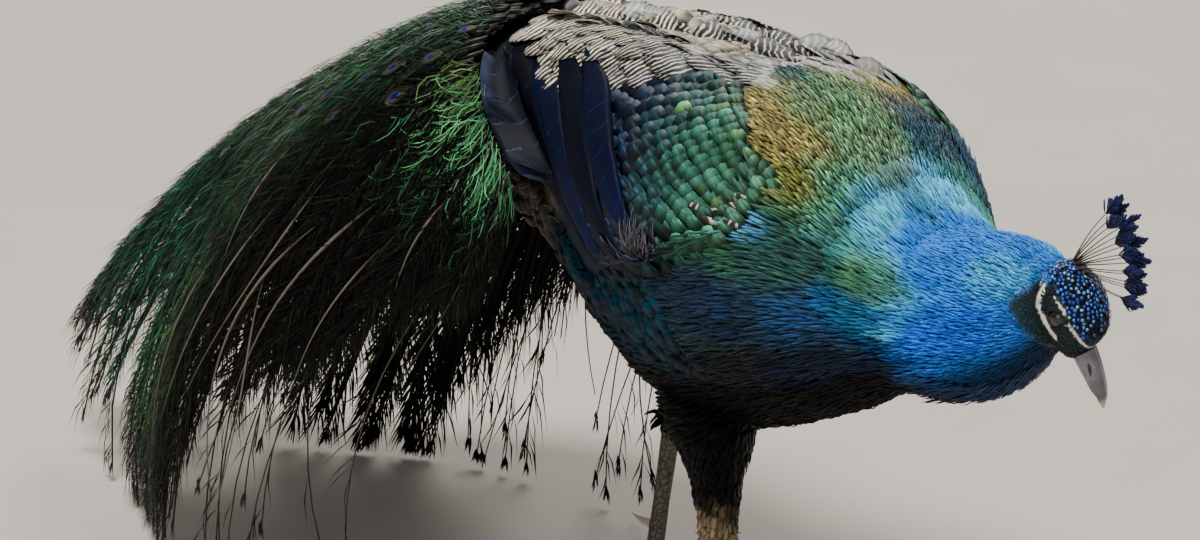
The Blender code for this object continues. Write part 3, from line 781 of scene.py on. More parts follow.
def feather_look(tree, barbs, gloss, rim_highlight_gain, depth, edge, sheen, specular, clear=(0.10, 0.75)):
    """A glossy coloured vane: dark at its root and between barbs, brighter on its rim."""
    _, tint, marks = vane_marks(tree, barbs, 0.35, edge)
    cloudy = group(tree, mottle_group, "mottle", Scale=70.0)
    dark, bright = toned(tree, tint, depth, 1.1), toned(tree, tint, rim_highlight_gain, 1.05)
    # painted shade: the vane is dark from its root until clear, where it lies under its neighbours
    colour = blended(tree, ramp(tree, marks["Along"], *clear), dark, tint)
    # the rim is brightened, partly as the vane's own lighter edge and partly as a painted highlight
    colour = washed(tree, colour, marks["Rim"], 0.6, bright)
    colour = washed(tree, colour, marks["Barbs"], 0.35, dark)
    return {
        "Base Color": toned(tree, colour, scaled(tree, cloudy["Value"], 0.9, 0.55)),
        "Metallic": gloss,
        "Roughness": scaled(tree, cloudy["Fine"], 0.25, 0.30),
        "Normal": bumped(tree, 0.45, 0.0004, marks["Barbs"]),
        "Specular IOR Level": specular,
        "Sheen Weight": sheen,
        "Sheen Roughness": 0.4,
    }


def barred_look(tree, bar, strength):
    """Cream vanes under broken bars that run in arcs round the shoulder, out of step on each vane."""
    _, tint, marks = vane_marks(tree, 150.0, 0.35, 0.7)
    x, y, z = parts(tree, object_place(tree))
    folded = add(tree, "ShaderNodeCombineXYZ", {0: x, 1: maths(tree, "ABSOLUTE", y), 2: z}).outputs[0]
    ends = {0: folded, 1: tuple(MIDDLE * (1, 0, 1) + BAR_CENTRE)}
    away = add(tree, "ShaderNodeVectorMath", ends, operation="DISTANCE").outputs["Value"]
    phase = scaled(tree, away, 2 * math.pi / BAR_SPACING, attribute(tree, "shift", "Fac"))
    phase = scaled(tree, noise(tree, 75.0, 1.0), 11.0, phase)
    broken = scaled(tree, noise(tree, 330.0, 1.0), 1.8, -0.9)
    wave = maths(tree, "ADD", maths(tree, "SINE", phase), broken)
    wave = maths(tree, "ADD", wave, times(tree, ramp(tree, away, 0.12, 0.28), 0.7))
    colour = washed(tree, tint, ramp(tree, wave, 0.75, 0.45), strength, bar)
    return {
        "Base Color": washed(tree, colour, marks["Barbs"], 0.12, shade(90, 78, 62)),
        "Roughness": 0.62,
        "Normal": bumped(tree, 0.35, 0.0003, marks["Barbs"]),
        "Sheen Weight": 0.1,
    }


def flight_look(tree):
    """Long wing feathers: dark in the middle, bluer low down, a lit line on the rear edge, thin splits."""
    vane, tint, marks = vane_marks(tree, 420.0, 0.12, 0.8)
    along, across, _ = parts(tree, vane)
    wide = noise(tree, 60.0, 4.0)
    dark, lit = toned(tree, tint, 0.30), toned(tree, tint, 3.4, 1.15)
    colour = washed(tree, dark, ramp(tree, along, 0.50, 0.12), wide, tint)
    edge = times(tree, ramp(tree, across, 0.74, 0.98), ramp(tree, along, 1.0, 0.7))
    colour = washed(tree, colour, edge, 0.8, lit)
    slant = times(tree, scaled(tree, across, 0.05, along), 52.0)
    cut = maths(tree, "SINE", scaled(tree, wide, 5.0, slant))
    gaps = times(tree, ramp(tree, cut, 0.975, 1.0), ramp(tree, wide, 0.45, 0.62))
    return {
        "Base Color": washed(tree, colour, gaps, 0.5, lit),
        "Metallic": 0.1,
        "Roughness": 0.55,
        "Normal": bumped(tree, 0.3, 0.0003, marks["Barbs"]),
        "Specular IOR Level": 0.12,
    }


def crown_look(tree):
    """Black scale-like feathers with a blue dot of uneven size at the tip."""
    vane, tint, marks = vane_marks(tree, 60.0, 0.3, 0.8)
    along, across, _ = parts(tree, vane)
    reach = scaled(tree, maths(tree, "ABSOLUTE", across), -0.12, along)
    reach = maths(tree, "ADD", reach, scaled(tree, noise(tree, 1100.0, 2.0), 1.1, -0.55))
    return {
        "Base Color": blended(tree, ramp(tree, reach, 0.54, 0.66), (0.002, 0.003, 0.006), tint),
        "Metallic": 0.3,
        "Roughness": 0.36,
        "Normal": bumped(tree, 0.3, 0.0002, marks["Barbs"]),
        "Specular IOR Level": 0.5,
    }


def skin_look(tree):
    """Skin under the coat, marked as the coat is, and pebbled where it shows."""
    pebbles = add(tree, "ShaderNodeTexVoronoi", {"Vector": object_place(tree), "Scale": 900.0})
    cloudy = noise(tree, 240.0, 4.0)
    height = scaled(tree, pebbles.outputs["Distance"], -0.6, cloudy)
    return {
        "Base Color": toned(tree, attribute(tree, "tint", "Color"), scaled(tree, cloudy, 0.6, 0.7)),
        "Roughness": 0.6,
        "Normal": bumped(tree, 0.35, 0.0004, height),
        "Specular IOR Level": 0.35,
    }


def horn_look(tree, pale, dark, tip_from, tip_to, rough):
    """Horn with darker streaks along it, and paler where its reach goes from tip_from to tip_to."""
    streak = noise(tree, 260.0, 5.0)
    colour = blended(tree, ramp(tree, noise(tree, 45.0, 2.0), 0.3, 0.7), dark, pale)
    end = ramp(tree, attribute(tree, "reach", "Fac"), tip_from, tip_to)
    colour = washed(tree, colour, end, 0.7, pale)
    return {
        "Base Color": washed(tree, colour, streak, 0.35, dark),
        "Roughness": rough,
        "Normal": bumped(tree, 0.3, 0.0002, streak),
        "Coat Weight": 0.15,
    }


def scale_look(tree):
    """Leg scales: cells with dark seams, grey-brown."""
    inputs = {"Vector": object_place(tree), "Scale": 210.0}
    cells = add(tree, "ShaderNodeTexVoronoi", inputs, feature="DISTANCE_TO_EDGE")
    seams = ramp(tree, cells.outputs[0], 0.0, 0.12)
    colour = blended(tree, noise(tree, 60.0, 3.0), shade(58, 52, 46), shade(104, 96, 86))
    colour = blended(tree, seams, shade(34, 29, 26), colour)
    return {"Base Color": colour, "Roughness": 0.55, "Normal": bumped(tree, 0.7, 0.0007, seams)}


def eye_look(tree):
    """Dark brown iris with fine spokes round a black pupil, under a wet coat."""
    away = attribute(tree, "reach", "Fac")
    iris = blended(tree, noise(tree, 1400.0, 3.0), shade(9, 7, 6), shade(40, 27, 20))
    colour = blended(tree, ramp(tree, away, 0.46, 0.50), (0.001, 0.001, 0.001), iris)
    colour = blended(tree, ramp(tree, away, 0.80, 0.88), colour, shade(8, 8, 10))
    return {"Base Color": colour, "Roughness": 0.15, "Coat Weight": 0.5, "Coat Roughness": 0.08}


def ocellus_look(tree):
    """The eye of a train feather: rings of violet, turquoise, bronze and green."""
    vane, tint, marks = vane_marks(tree, 110.0, 0.5, 0.6)
    x, y, _ = parts(tree, vane)
    along, across = scaled(tree, x, 2.0, -1.15), times(tree, y, 0.85)
    squares = (maths(tree, "POWER", measure, 2.0) for measure in (along, across))
    away = maths(tree, "SQRT", maths(tree, "ADD", *squares))
    colour = shade(30, 24, 96)
    rings = (
        (0.24, 0.30, shade(44, 90, 168)),
        (0.42, 0.48, shade(116, 74, 40)),
        (0.66, 0.72, shade(52, 84, 44)),
        (0.82, 0.95, tint),
    )
    for low, high, outer in rings:
        colour = blended(tree, ramp(tree, away, low, high), colour, outer)
    return {
        "Base Color": washed(tree, colour, marks["Barbs"], 0.4, BLACK),
        "Metallic": 0.55,
        "Roughness": 0.38,
        "Normal": bumped(tree, 0.4, 0.0004, marks["Barbs"]),
    }


def shaft_look(tree):
    """Bare shafts: pale grey-beige, darker in streaks."""
    streak = noise(tree, 120.0, 3.0)
    colour = washed(tree, attribute(tree, "tint", "Color"), streak, 0.6, shade(60, 52, 44))
    return {"Base Color": colour, "Roughness": 0.45, "Normal": bumped(tree, 0.2, 0.0002, streak)}


# after feather_look: barbs, gloss, rim_highlight_gain, depth, edge, sheen, specular and, if needed, clear
# depth is how dark the painted shade at a vane's root is, and clear is where along the vane it fades;
# rim_highlight_gain is the rim's brightness, partly painted highlight
FEATHER_LOOKS = {
    "barred": (barred_look, shade(10, 12, 15), 1.0),
    "pale_barred": (barred_look, shade(96, 98, 96), 0.6),
    "soot": (feather_look, 60.0, 0.0, 1.5, 0.4, 0.55, 0.0, 0.08),
    "flight": (flight_look,),
    "crown": (crown_look,),
    "neck": (feather_look, 60.0, 0.15, 1.35, 0.66, 0.55, 0.0, 0.10),
    "hair": (feather_look, 60.0, 0.35, 1.5, 0.20, 0.55, 0.05, 0.3),
    "cape": (feather_look, 50.0, 0.30, 1.5, 0.08, 0.60, 0.0, 0.3),
    "scale": (feather_look, 70.0, 0.20, 2.2, 0.16, 0.78, 0.0, 0.10, (0.40, 0.92)),
    "wing": (feather_look, 150.0, 0.35, 2.4, 0.10, 0.86, 0.0, 0.3, (0.42, 0.94)),
    "train": (feather_look, 40.0, 0.2, 1.3, 0.5, 0.55, 0.0, 0.2),
    "down": (feather_look, 40.0, 0.0, 1.2, 0.5, 0.55, 0.1, 0.2),
    "head": (feather_look, 30.0, 0.3, 1.4, 0.3, 0.6, 0.05, 0.35),
}


def feather_material(kind):
    maker, *settings = FEATHER_LOOKS[kind]
    return material_named(kind + "_vanes", maker, *settings)


# ---- skin ----------------------------------------------------------------------------------
ROOT_DEPTH = 0.0004
FLESH = ("rump", "trunk", "breast", "neck_lower", "neck_upper", "head", "thigh_left", "thigh_right")
HEAD_COAT_DEPTH = 0.0006
WINGS = tuple(
    part + "_" + word for part in ("coverts", "scapulars", "secondaries") for word in ("left", "right")
)


def joined(names):
    """Copies of CAD nodes as one mesh with their points merged."""
    bm = bmesh.new()
    for name in names:
        bm.from_mesh(NODES[name].data)
    bmesh.ops.remove_doubles(bm, verts=bm.verts, dist=1e-6)
    mesh = bpy.data.meshes.new("joined")
    bm.to_mesh(mesh)
    bm.free()
    return mesh


def remeshed(mesh, voxel):
    """A closed even mesh over everything in it, its largest part only."""
    holder = linked("remesh", mesh)
    modifier = holder.modifiers.new("remesh", "REMESH")
    modifier.mode = "VOXEL"
    modifier.voxel_size = voxel
    made = evaluated(holder, "remeshed")
    dropped(holder)
    return largest_part(made)


def largest_part(mesh):
    """Drops every loose part of a mesh but the one with most points."""
    bm = bmesh.new()
    bm.from_mesh(mesh)
    bm.verts.ensure_lookup_table()
    part = [-1] * len(bm.verts)
    sizes = []
    for start in bm.verts:
        if part[start.index] >= 0:
            continue
        sizes.append(0)
        stack = [start]
        part[start.index] = len(sizes) - 1
        while stack:
            vert = stack.pop()
            sizes[-1] += 1
            for edge in vert.link_edges:
                other = edge.other_vert(vert)
                if part[other.index] < 0:
                    part[other.index] = len(sizes) - 1
                    stack.append(other)
    keep = sizes.index(max(sizes))
    loose = [vert for vert in bm.verts if part[vert.index] != keep]
    bmesh.ops.delete(bm, geom=loose, context="VERTS")
    bm.to_mesh(mesh)
    bm.free()
    return mesh


def smoothed(mesh, rounds):
    """Rounds off facets and steps without shrinking the form."""
    edges = np.empty(len(mesh.edges) * 2, np.int32)
    mesh.edges.foreach_get("vertices", edges)
    a, b = edges.reshape(-1, 2).T
    points = points_of(mesh)
    count = np.bincount(a, minlength=len(points)) + np.bincount(b, minlength=len(points))
    for turn in range(2 * rounds):
        total = np.zeros_like(points)
        for axis in range(3):
            total[:, axis] = np.bincount(a, points[b, axis], len(points))
            total[:, axis] += np.bincount(b, points[a, axis], len(points))
        move = total / np.maximum(count, 1)[:, None] - points
        points = points + move * (0.5 if turn % 2 == 0 else -0.53)
    set_points(mesh, points)
    return mesh


def finer(mesh, chosen):
    """Splits the faces whose middles pass a test."""
    bm = bmesh.new()
    bm.from_mesh(mesh)
    middles = np.array([face.calc_center_median() for face in bm.faces])
    bm.faces.ensure_lookup_table()
    edges = {edge for i in np.flatnonzero(chosen(middles)) for edge in bm.faces[i].edges}
    bmesh.ops.subdivide_edges(bm, edges=list(edges), cuts=1, use_grid_fill=True)
    bmesh.ops.triangulate(bm, faces=[face for face in bm.faces if len(face.verts) > 4])
    bm.to_mesh(mesh)
    bm.free()
    return mesh


def build_skin(settings):
    """One skin over flesh and wings, a little inside the outline that the coat fills."""
    mesh = remeshed(joined(FLESH + WINGS), settings.skin_voxel)
    smoothed(mesh, 8)
    finer(mesh, lambda p: head_share(p) > 0.05)
    smoothed(mesh, 3)
    points = points_of(mesh)
    head = head_share(points)
    depth = settings.coat_depth * (1 - head) + HEAD_COAT_DEPTH * head
    points = points - normals_of(mesh) * depth[:, None]
    set_points(mesh, points)
    bare = white_share(*to_head(points)[:, ::2].T) * head
    # painted shade: the skin under the coat is darkened to 0.45 so that gaps between feathers look shaded; bare white
    # skin keeps its full colour
    colours = plumage(points) * (0.45 + 0.55 * bare)[:, None]
    put(mesh, "tint", "FLOAT_COLOR", with_alpha(colours))
    return smooth_piece("skin", mesh, material_named("skin", skin_look), FLESH)


def skin_mesh():
    return bpy.data.objects["skin"].data


def scattered(zone, spacing, seed):
    """Roots and facing directions spread over the part of the skin where zone says so."""
    mesh = skin_mesh().copy()
    put(mesh, "zone", "FLOAT", zone(points_of(mesh)))
    holder = linked("scatter", mesh)
    made = run_tree(holder, tree_named("feather_roots", roots_tree), Spacing=spacing, Seed=seed)
    roots, facing = points_of(made), facing_of(made)
    bpy.data.meshes.remove(made)
    dropped(holder)
    return roots, unit(facing)


def lie_of_coat(points, normals):
    """Feathers lie from the head towards the tail and a little down, as on the living bird."""
    x, _, angle = body_place(to_trunk(points))
    sink = 0.30 * soft(60, 0, angle) * soft(18, 10, x)
    flow = np.stack((-np.ones(len(x)), np.zeros(len(x)), -sink), 1)
    head = head_share(points)[:, None]
    flow = flow * (1 - head) - np.array(HEAD.to_3x3().col[0]) * head
    leg = leg_share(points)[:, None]
    flow = flow * (1 - leg) + np.array((-0.25, 0, -1.0)) * leg
    flow = flow + 0.10 * np.stack([ripple(points, 60, 11 + k) for k in range(3)], 1)
    return level(flow, normals)


def raised(lie, facing, degrees):
    """Turns each feather up out of the surface."""
    turn = np.radians(degrees)[:, None]
    up = lie * np.cos(turn) + facing * np.sin(turn)
    return up, facing * np.cos(turn) - lie * np.sin(turn)


def tinted(colours, rng, spread):
    """The colours with each feather a little lighter, darker or shifted in hue."""
    gain = np.exp(rng.normal(0, spread, (len(colours), 1)))
    shift = np.exp(rng.normal(0, min(spread * 0.35, 0.07), (len(colours), 3)))
    return np.clip(colours * gain * shift, 0, 1)


def coat_over(
    name, kind, look, zone, spacing, length, width, lift, seed, slot_name, spread=0.22
):
    """A coat piece scattered over a zone; length and width are functions of the roots."""
    rng = np.random.default_rng(seed)
    roots, facing = scattered(zone, spacing, seed)
    lie = lie_of_coat(roots, facing)
    long = length(roots) * rng.uniform(0.85, 1.15, len(roots))
    wide = width(roots) * rng.uniform(0.85, 1.15, len(roots)) / 2
    lie, up = raised(lie, facing, rng.normal(lift, 2.0, len(roots)))
    side = np.cross(up, lie) * rng.normal(0, 0.07, (len(roots), 1))
    colours = tinted(plumage(roots), rng, spread)
    x, y, z = to_trunk(roots).T
    marks = np.stack((x * 100, np.degrees(np.arctan2(z, y))), 1)
    return coat(
        name, kind, roots - facing * ROOT_DEPTH, unit(lie + side), up,
        np.stack((long, wide, long * 0.45), 1), colours, marks, feather_material(look), slot_name,
    )


# ---- body coats ----------------------------------------------------------------------------
def wing_zone(points):
    """1 under the folded wings, with the part that only wing feathers cover."""
    x, _, angle = body_place(to_trunk(points))
    low, high = np.interp(x, *WING_UNDER), np.interp(x, *WING_HIGH)
    inside = (x > -18.4) & (x < 12.4) & (angle > low + 2) & (angle < high - 3)
    return inside & (head_share(points) < 0.1)


CAPE_EDGE = ((5.3, 7.6, 10.2, 13.6, 15.0, 16.0), (82, 66, 55, 45, 37, 30))


def in_cape(points):
    """The short scale-like feathers over the shoulders."""
    x, _, angle = body_place(to_trunk(points))
    return (x > 5.3) & (x < 16.0) & (angle > np.interp(x, *CAPE_EDGE) - 2)


def on_belly(points):
    """The black underside behind the breast."""
    x, _, angle = body_place(to_trunk(points))
    return (angle < -27) & (x + 0.06 * angle < 20) & (x > -16) & (leg_share(points) < 0.5)


def zone_of(low, high):
    """A zone of the body between two x, in centimetres, outside wings, cape, head and thighs."""

    def zone(points):
        x, _, angle = body_place(to_trunk(points))
        slanted = x + 0.15 * np.minimum(angle - 8, 0)
        inside = (slanted >= low) & (slanted < high)
        inside &= ~wing_zone(points) & ~in_cape(points) & ~on_belly(points)
        inside &= ~((x > 2) & (x < 13.6) & (angle > 41))
        inside &= (head_share(points) < 0.5) & (leg_share(points) < 0.5)
        return inside.astype(float)

    return zone


def constant(value):
    return lambda points: np.full(len(points), value)


def by_x(*pairs):
    """A measure that changes along the body; pairs of x in centimetres and the measure."""
    places, values = zip(*pairs)
    return lambda points: np.interp(to_trunk(points)[:, 0] * 100, places, values)


def build_body_coat(settings):
    """Seven coats from the neck to the thighs, with lengths and widths in metres."""
    gap = settings.coat_spacing
    coat_over(
        "neck_feathers", "hair", "neck", zone_of(17.0, 40), 0.80 * gap,
        by_x((17, 0.016), (24, 0.012), (31, 0.008)), by_x((17, 0.0021), (31, 0.0015)),
        9, 21, "blue_feathers",
    )
    coat_over(
        "breast_feathers", "hair", "hair", zone_of(5.5, 17.0), gap,
        by_x((5, 0.024), (17, 0.018)), by_x((5, 0.0027), (17, 0.0021)),
        8, 22, "body_feathers",
    )
    coat_over(
        "cape_feathers", "hair", "cape", lambda p: (in_cape(p) & ~wing_zone(p)) * 1.0, 0.95 * gap,
        constant(0.0105), constant(0.0024), 9, 26, "green_feathers", spread=0.42,
    )
    coat_over(
        "flank_feathers", "scale", "scale", zone_of(-15.5, 5.5), 2.2 * gap,
        constant(0.020), constant(0.0125), 9, 23, "body_feathers",
    )
    coat_over(
        "rump_feathers", "scale", "scale", zone_of(-31, -15.5), 2.2 * gap,
        constant(0.018), constant(0.012), 9, 24, "body_feathers",
    )
    coat_over(
        "belly_feathers", "hair", "soot", lambda p: on_belly(p) * 1.0, 1.35 * gap,
        constant(0.020), constant(0.0042), 8, 27, "body_feathers",
    )
    # the thigh feathers take the painted shade from plumage: black over their own buff
    coat_over(
        "thigh_feathers", "hair", "soot", lambda p: (leg_share(p) >= 0.5) * 1.0, 1.3 * gap,
        constant(0.014), constant(0.0045), 10, 25, "thigh_feathers",
    )


def head_zone(points):
    """Where short feathers cover the head: not the bare skin, the eyes or the bill."""
    places = to_head(points)
    bare = white_share(places[:, 0], places[:, 2]) > 0.35
    eye = np.hypot(places[:, 0] - 100 * EYE_AHEAD, places[:, 2] - 100 * EYE_UP) < 0.78
    bill = places[:, 0] > 3.3
    return ((head_share(points) >= 0.5) & ~bare & ~eye & ~bill) * 1.0


def crown_zone(points):
    """The speckled crown, without the black band over the bill."""
    places = to_head(points)
    ahead, up = places[:, 0], places[:, 2]
    low = np.interp(ahead, (-2.6, -0.8, 0.6, 1.2, 2.6), (0.6, 0.9, 1.05, 0.85, 0.85))
    return (head_zone(points) > 0) * (up > low) * soft(3.0, 1.6, ahead) * (ahead > -2.9)


def build_head_coat(settings):
    """Short feathers on the head, and the dotted ones of the crown."""
    coat_over(
        "head_feathers", "scale", "head", head_zone, 0.55 * settings.coat_spacing,
        constant(0.0036), constant(0.0021), 8, 31, "blue_feathers",
    )
    rng = np.random.default_rng(33)
    roots, facing = scattered(crown_zone, 0.0026, 33)
    count = len(roots)
    lie, up = raised(lie_of_coat(roots, facing), facing, rng.normal(11, 3, count))
    wide = rng.uniform(0.0012, 0.0016, count)
    size = np.stack((rng.uniform(0.0044, 0.0054, count), wide, np.full(count, 0.003)), 1)
    blues = np.array((shade(40, 92, 206), shade(74, 140, 232), shade(44, 70, 186), shade(120, 182, 240)))
    colours = tinted(blues[rng.choice(4, count, p=(0.35, 0.3, 0.2, 0.15))], rng, 0.25)
    marks = to_head(roots)[:, :2]
    coat(
        "crown_feathers", "scale", roots, lie, up, size, colours, marks,
        feather_material("crown"), "blue_feathers",
    )


# ---- wings ---------------------------------------------------------------------------------
def surface(over=()):
    """A tree of the skin, and of any nodes over it, for finding points on them."""
    points, faces = [], []
    for mesh in (skin_mesh(), *([joined(over)] if over else [])):
        mesh.calc_loop_triangles()
        first = len(points)
        points += [v.co.copy() for v in mesh.vertices]
        faces += [tuple(first + n for n in t.vertices) for t in mesh.loop_triangles]
    return BVHTree.FromPolygons(points, faces)


def on_skin(tree, side, x, angle):
    """The skin's point and facing at x in centimetres and an angle up the given side."""
    row = [np.interp(x, SECTIONS[:, 0], SECTIONS[:, k]) for k in range(5)]
    turn = math.radians(angle)
    out = Vector((0, side * math.cos(turn), math.sin(turn)))
    centre = Vector(MIDDLE) + Vector((x, 0, row[1])) / 100
    hit, normal, _, _ = tree.ray_cast(centre + out * 0.30, -out)
    if hit is None:
        hit, normal = centre + out * row[2] / 100, out
    return np.array(hit), np.array(normal)


WING_UNDER = (
    (-18.4, -17.0, -16.0, -14.7, -13.0, -11.0, -8.6, -4.6, -1.0, 1.5, 5, 11.4, 12.6),
    (56, 46, 36, 28, 19, 10, 0, -12, -14, 0, 9, 26, 38),
)
WING_LOW = ((-16.5, -8.9, -1.4, 5, 11.4, 12.6), (50, 17, -2, 7, 22, 34))
WING_MIDDLE = (
    (-16.5, -13.0, -10.3, -6.0, -2.0, 1.5, 2.6, 6.1, 8.8, 12.6),
    (55, 50, 48, 48, 60, 72, 77, 63, 54, 45),
)
WING_HIGH = ((-16.5, -6, 2.3, 6.1, 8.8, 12.6), (84, 84, 80, 62, 52, 44))


SHORTEST_WING_VANE = 0.004


def wing_edges(x):
    return tuple(np.interp(x, *edge) for edge in (WING_LOW, WING_MIDDLE, WING_HIGH))


def body_radius(x):
    return float(np.interp(x, SECTIONS[:, 0], SECTIONS[:, 2]))


def wing_rows(rng, columns, spread, band, spacing, ahead):
    """Places of vane tips in staggered columns: x, angle, length and width in centimetres."""
    made = []
    for index, x in enumerate(columns):
        edges = wing_edges(x)
        low, high = edges[band], edges[band + 1]
        gap = spacing(x)
        step = math.degrees(gap / body_radius(x))
        start = low + step * (0.15 + 0.5 * (index % 2))
        for angle in np.arange(start, high + 0.3 * step, step):
            jitter = rng.normal(0, spread, 2)
            made.append((x + jitter[0], angle + jitter[1] * 4, ahead * gap, gap))
    return made


def covert_colour(x, angle, rng):
    """Wing coverts: blue-black behind, dark teal in the middle, green in front."""
    row = (
        shade(9, 16, 34), shade(12, 26, 62), shade(20, 50, 76), shade(42, 92, 90),
        shade(68, 136, 112), shade(78, 130, 102),
    )
    share = min(max(np.interp(x + 0.05 * (angle - 30), (-8, -3, 1, 4, 7.5, 11), range(6)), 0), 4.999)
    low = int(share)
    colour = np.array(row[low]) * (1 - share + low) + np.array(row[low + 1]) * (share - low)
    if x > 2 and angle > 32 and rng.random() < 0.07:
        colour = np.array(BRIGHT_GREEN) * 0.8
    if angle < 14:
        colour = colour * 0.5 + np.array(NAVY) * 0.2
    return colour * math.exp(rng.normal(0, 0.25))


def feather_run(tree, side, x, angle, long, tilt):
    """Root and tip of a vane that lies on the skin: it points back, and up by its tilt."""
    rise = math.degrees(tilt * long / body_radius(x))
    tip, tip_up = on_skin(tree, side, x, angle)
    back = long * math.sqrt(max(1 - tilt**2, 0.02))
    root, root_up = on_skin(tree, side, x + back, angle - rise)
    return root, root_up, tip, tip_up


def wing_piece(
    name, tree, rng, places, look, colour_of, slot_name, nodes, rise, tilt, sides=(1, -1)
):
    """Broad vanes in rows on the wings; tilt gives how far they point up at a place."""
    rows = []
    for side in sides:
        for x, angle, long, wide in places:
            root, root_up, tip, tip_up = feather_run(tree, side, x, angle, long, tilt(x, angle))
            root = root - root_up * 0.0006
            run = tip + tip_up * rise - root
            length = float(np.linalg.norm(run))
            if length < SHORTEST_WING_VANE:
                continue
            bend = math.acos(min(max(float(np.dot(tip_up, root_up)), -1), 1))
            size = (length, wide / 100 * 0.62, length * bend / 2 + 0.006)
            colour, mark = colour_of(x, angle, rng), (x + side * 40, angle)
            rows.append((root, unit(run), unit(tip_up + root_up), size, colour, mark))
    roots, lies, ups, sizes, colours, marks = columns_of(rows)
    colours = tinted(colours, rng, 0.14)
    coat(
        name, "broad", roots, lies, ups, sizes, colours, marks, feather_material(look),
        slot_name, nodes, rng.uniform(-1.1, 1.1, len(roots)),
    )


def pair(name):
    return (name + "_left", name + "_right")


# each long wing feather: x and angle of its rear edge from the rounded upper end down, its width in
# centimetres and its colour
LONG_FEATHERS = (
    (
        ((-18.2, 60), (-17.4, 48), (-16.0, 36), (-14.0, 24), (-11.0, 14), (-7.6, 2), (-3.6, -9)),
        3.0, shade(42, 46, 62),
    ),
    (
        ((-16.6, 60), (-15.6, 50), (-14.0, 40), (-12.0, 29), (-9.4, 18), (-6.2, 6), (-2.4, -8)),
        2.9, shade(22, 26, 40),
    ),
    (
        ((-14.4, 60), (-13.0, 50), (-11.0, 40), (-8.8, 30), (-6.4, 19), (-3.6, 7), (-0.6, -5)),
        2.9, shade(14, 30, 70),
    ),
    (
        ((-12.2, 60), (-10.2, 51), (-8.0, 42), (-6.0, 33), (-4.0, 23), (-1.6, 12), (1.2, 2)),
        2.8, shade(10, 20, 46),
    ),
    (
        ((-9.8, 60), (-7.4, 52), (-5.4, 44), (-3.6, 36), (-1.8, 28), (0.6, 18), (3.0, 9)),
        2.8, shade(12, 26, 66),
    ),
)
# x, angle, length and width of small barred feathers among the plain ones
BARRED_SPOTS = (
    (-5.2, 49, 2.2, 1.1), (-4.4, 46, 2.2, 1.1), (-3.8, 43, 2.0, 0.9), (-3.0, 43, 2.0, 0.8),
    (-2.9, 40, 1.9, 0.8), (-2.2, 38, 1.8, 0.7), (-11.8, 46, 2.2, 1.2), (-10.8, 44, 2.2, 1.2),
    (-10.0, 42, 2.0, 1.0), (-9.4, 45, 2.0, 1.0), (9.0, 27, 2.0, 0.40), (9.6, 30, 2.2, 0.36),
    (10.3, 33, 2.2, 0.34), (10.2, 28, 2.0, 0.34), (10.9, 36, 2.0, 0.32), (8.4, 29, 1.8, 0.36),
)


def long_feathers(name, tree, feathers, lift, look, nodes):
    """Long vanes that follow the skin, each a closed blade whose rear edge is given."""
    points, faces, vanes, tints, corners = [], [], [], [], []
    rows, ring = 22, 8
    for side in (1, -1):
        for index, (edge, width, colour) in enumerate(feathers):
            first = len(points)
            edge = np.array(edge, float)
            for k in range(rows):
                t = k / (rows - 1)
                x, angle = smooth_rows(edge, (t**0.8) * (len(edge) - 1))
                end = min(1.0, (t / 0.16) ** 0.5 if t < 0.16 else 1.0) * min(1.0, 0.35 + (1 - t) * 1.6)
                base = lift * (1 + 0.55 * index) * (0.35 + 0.65 * min(1, 4 * (1 - t))) / 1000
                across = []
                for v in (0, 0.2, 0.5, 0.8, 1.0):
                    shift = width * (0.5 + (v - 0.5) * end)
                    hit, up = on_skin(tree, side, x + shift * 0.93, angle + 1.6 * shift)
                    bulge = 0.0011 * math.sin(math.pi * v)
                    across.append((hit + up * (base + bulge), up, v))
                under = [(hit - up * 0.0007, up, v) for hit, up, v in across[3:0:-1]]
                for hit, _, v in across + under:
                    points.append(hit)
                    vanes.append((1 - t, 1 - 2 * v, 0))
                tints += [colour] * ring
                corners += [(0.5 + side * (0.06 + 0.08 * index) + 0.0012 * t, 0.05 + 0.9 * t)] * ring
            made, last = [], first + ring * (rows - 1)
            for row in range(first, last, ring):
                for n in range(ring):
                    m = (n + 1) % ring
                    made.append((row + n, row + m, row + ring + m, row + ring + n))
            made += [tuple(range(first, first + ring))[::-1], tuple(range(last, last + ring))]
            faces += made if side < 0 else [face[::-1] for face in made]
    mesh = mesh_of(name, points, faces)
    put(mesh, "vane", "FLOAT_VECTOR", vanes)
    put(mesh, "tint", "FLOAT_COLOR", with_alpha(np.array(tints)))
    uvs = np.array(corners)[[loop.vertex_index for loop in mesh.loops]]
    put(mesh, "OFBake", "FLOAT2", uvs, "CORNER")
    mesh.materials.append(feather_material(look))
    return finished(name, outward(mesh), nodes)


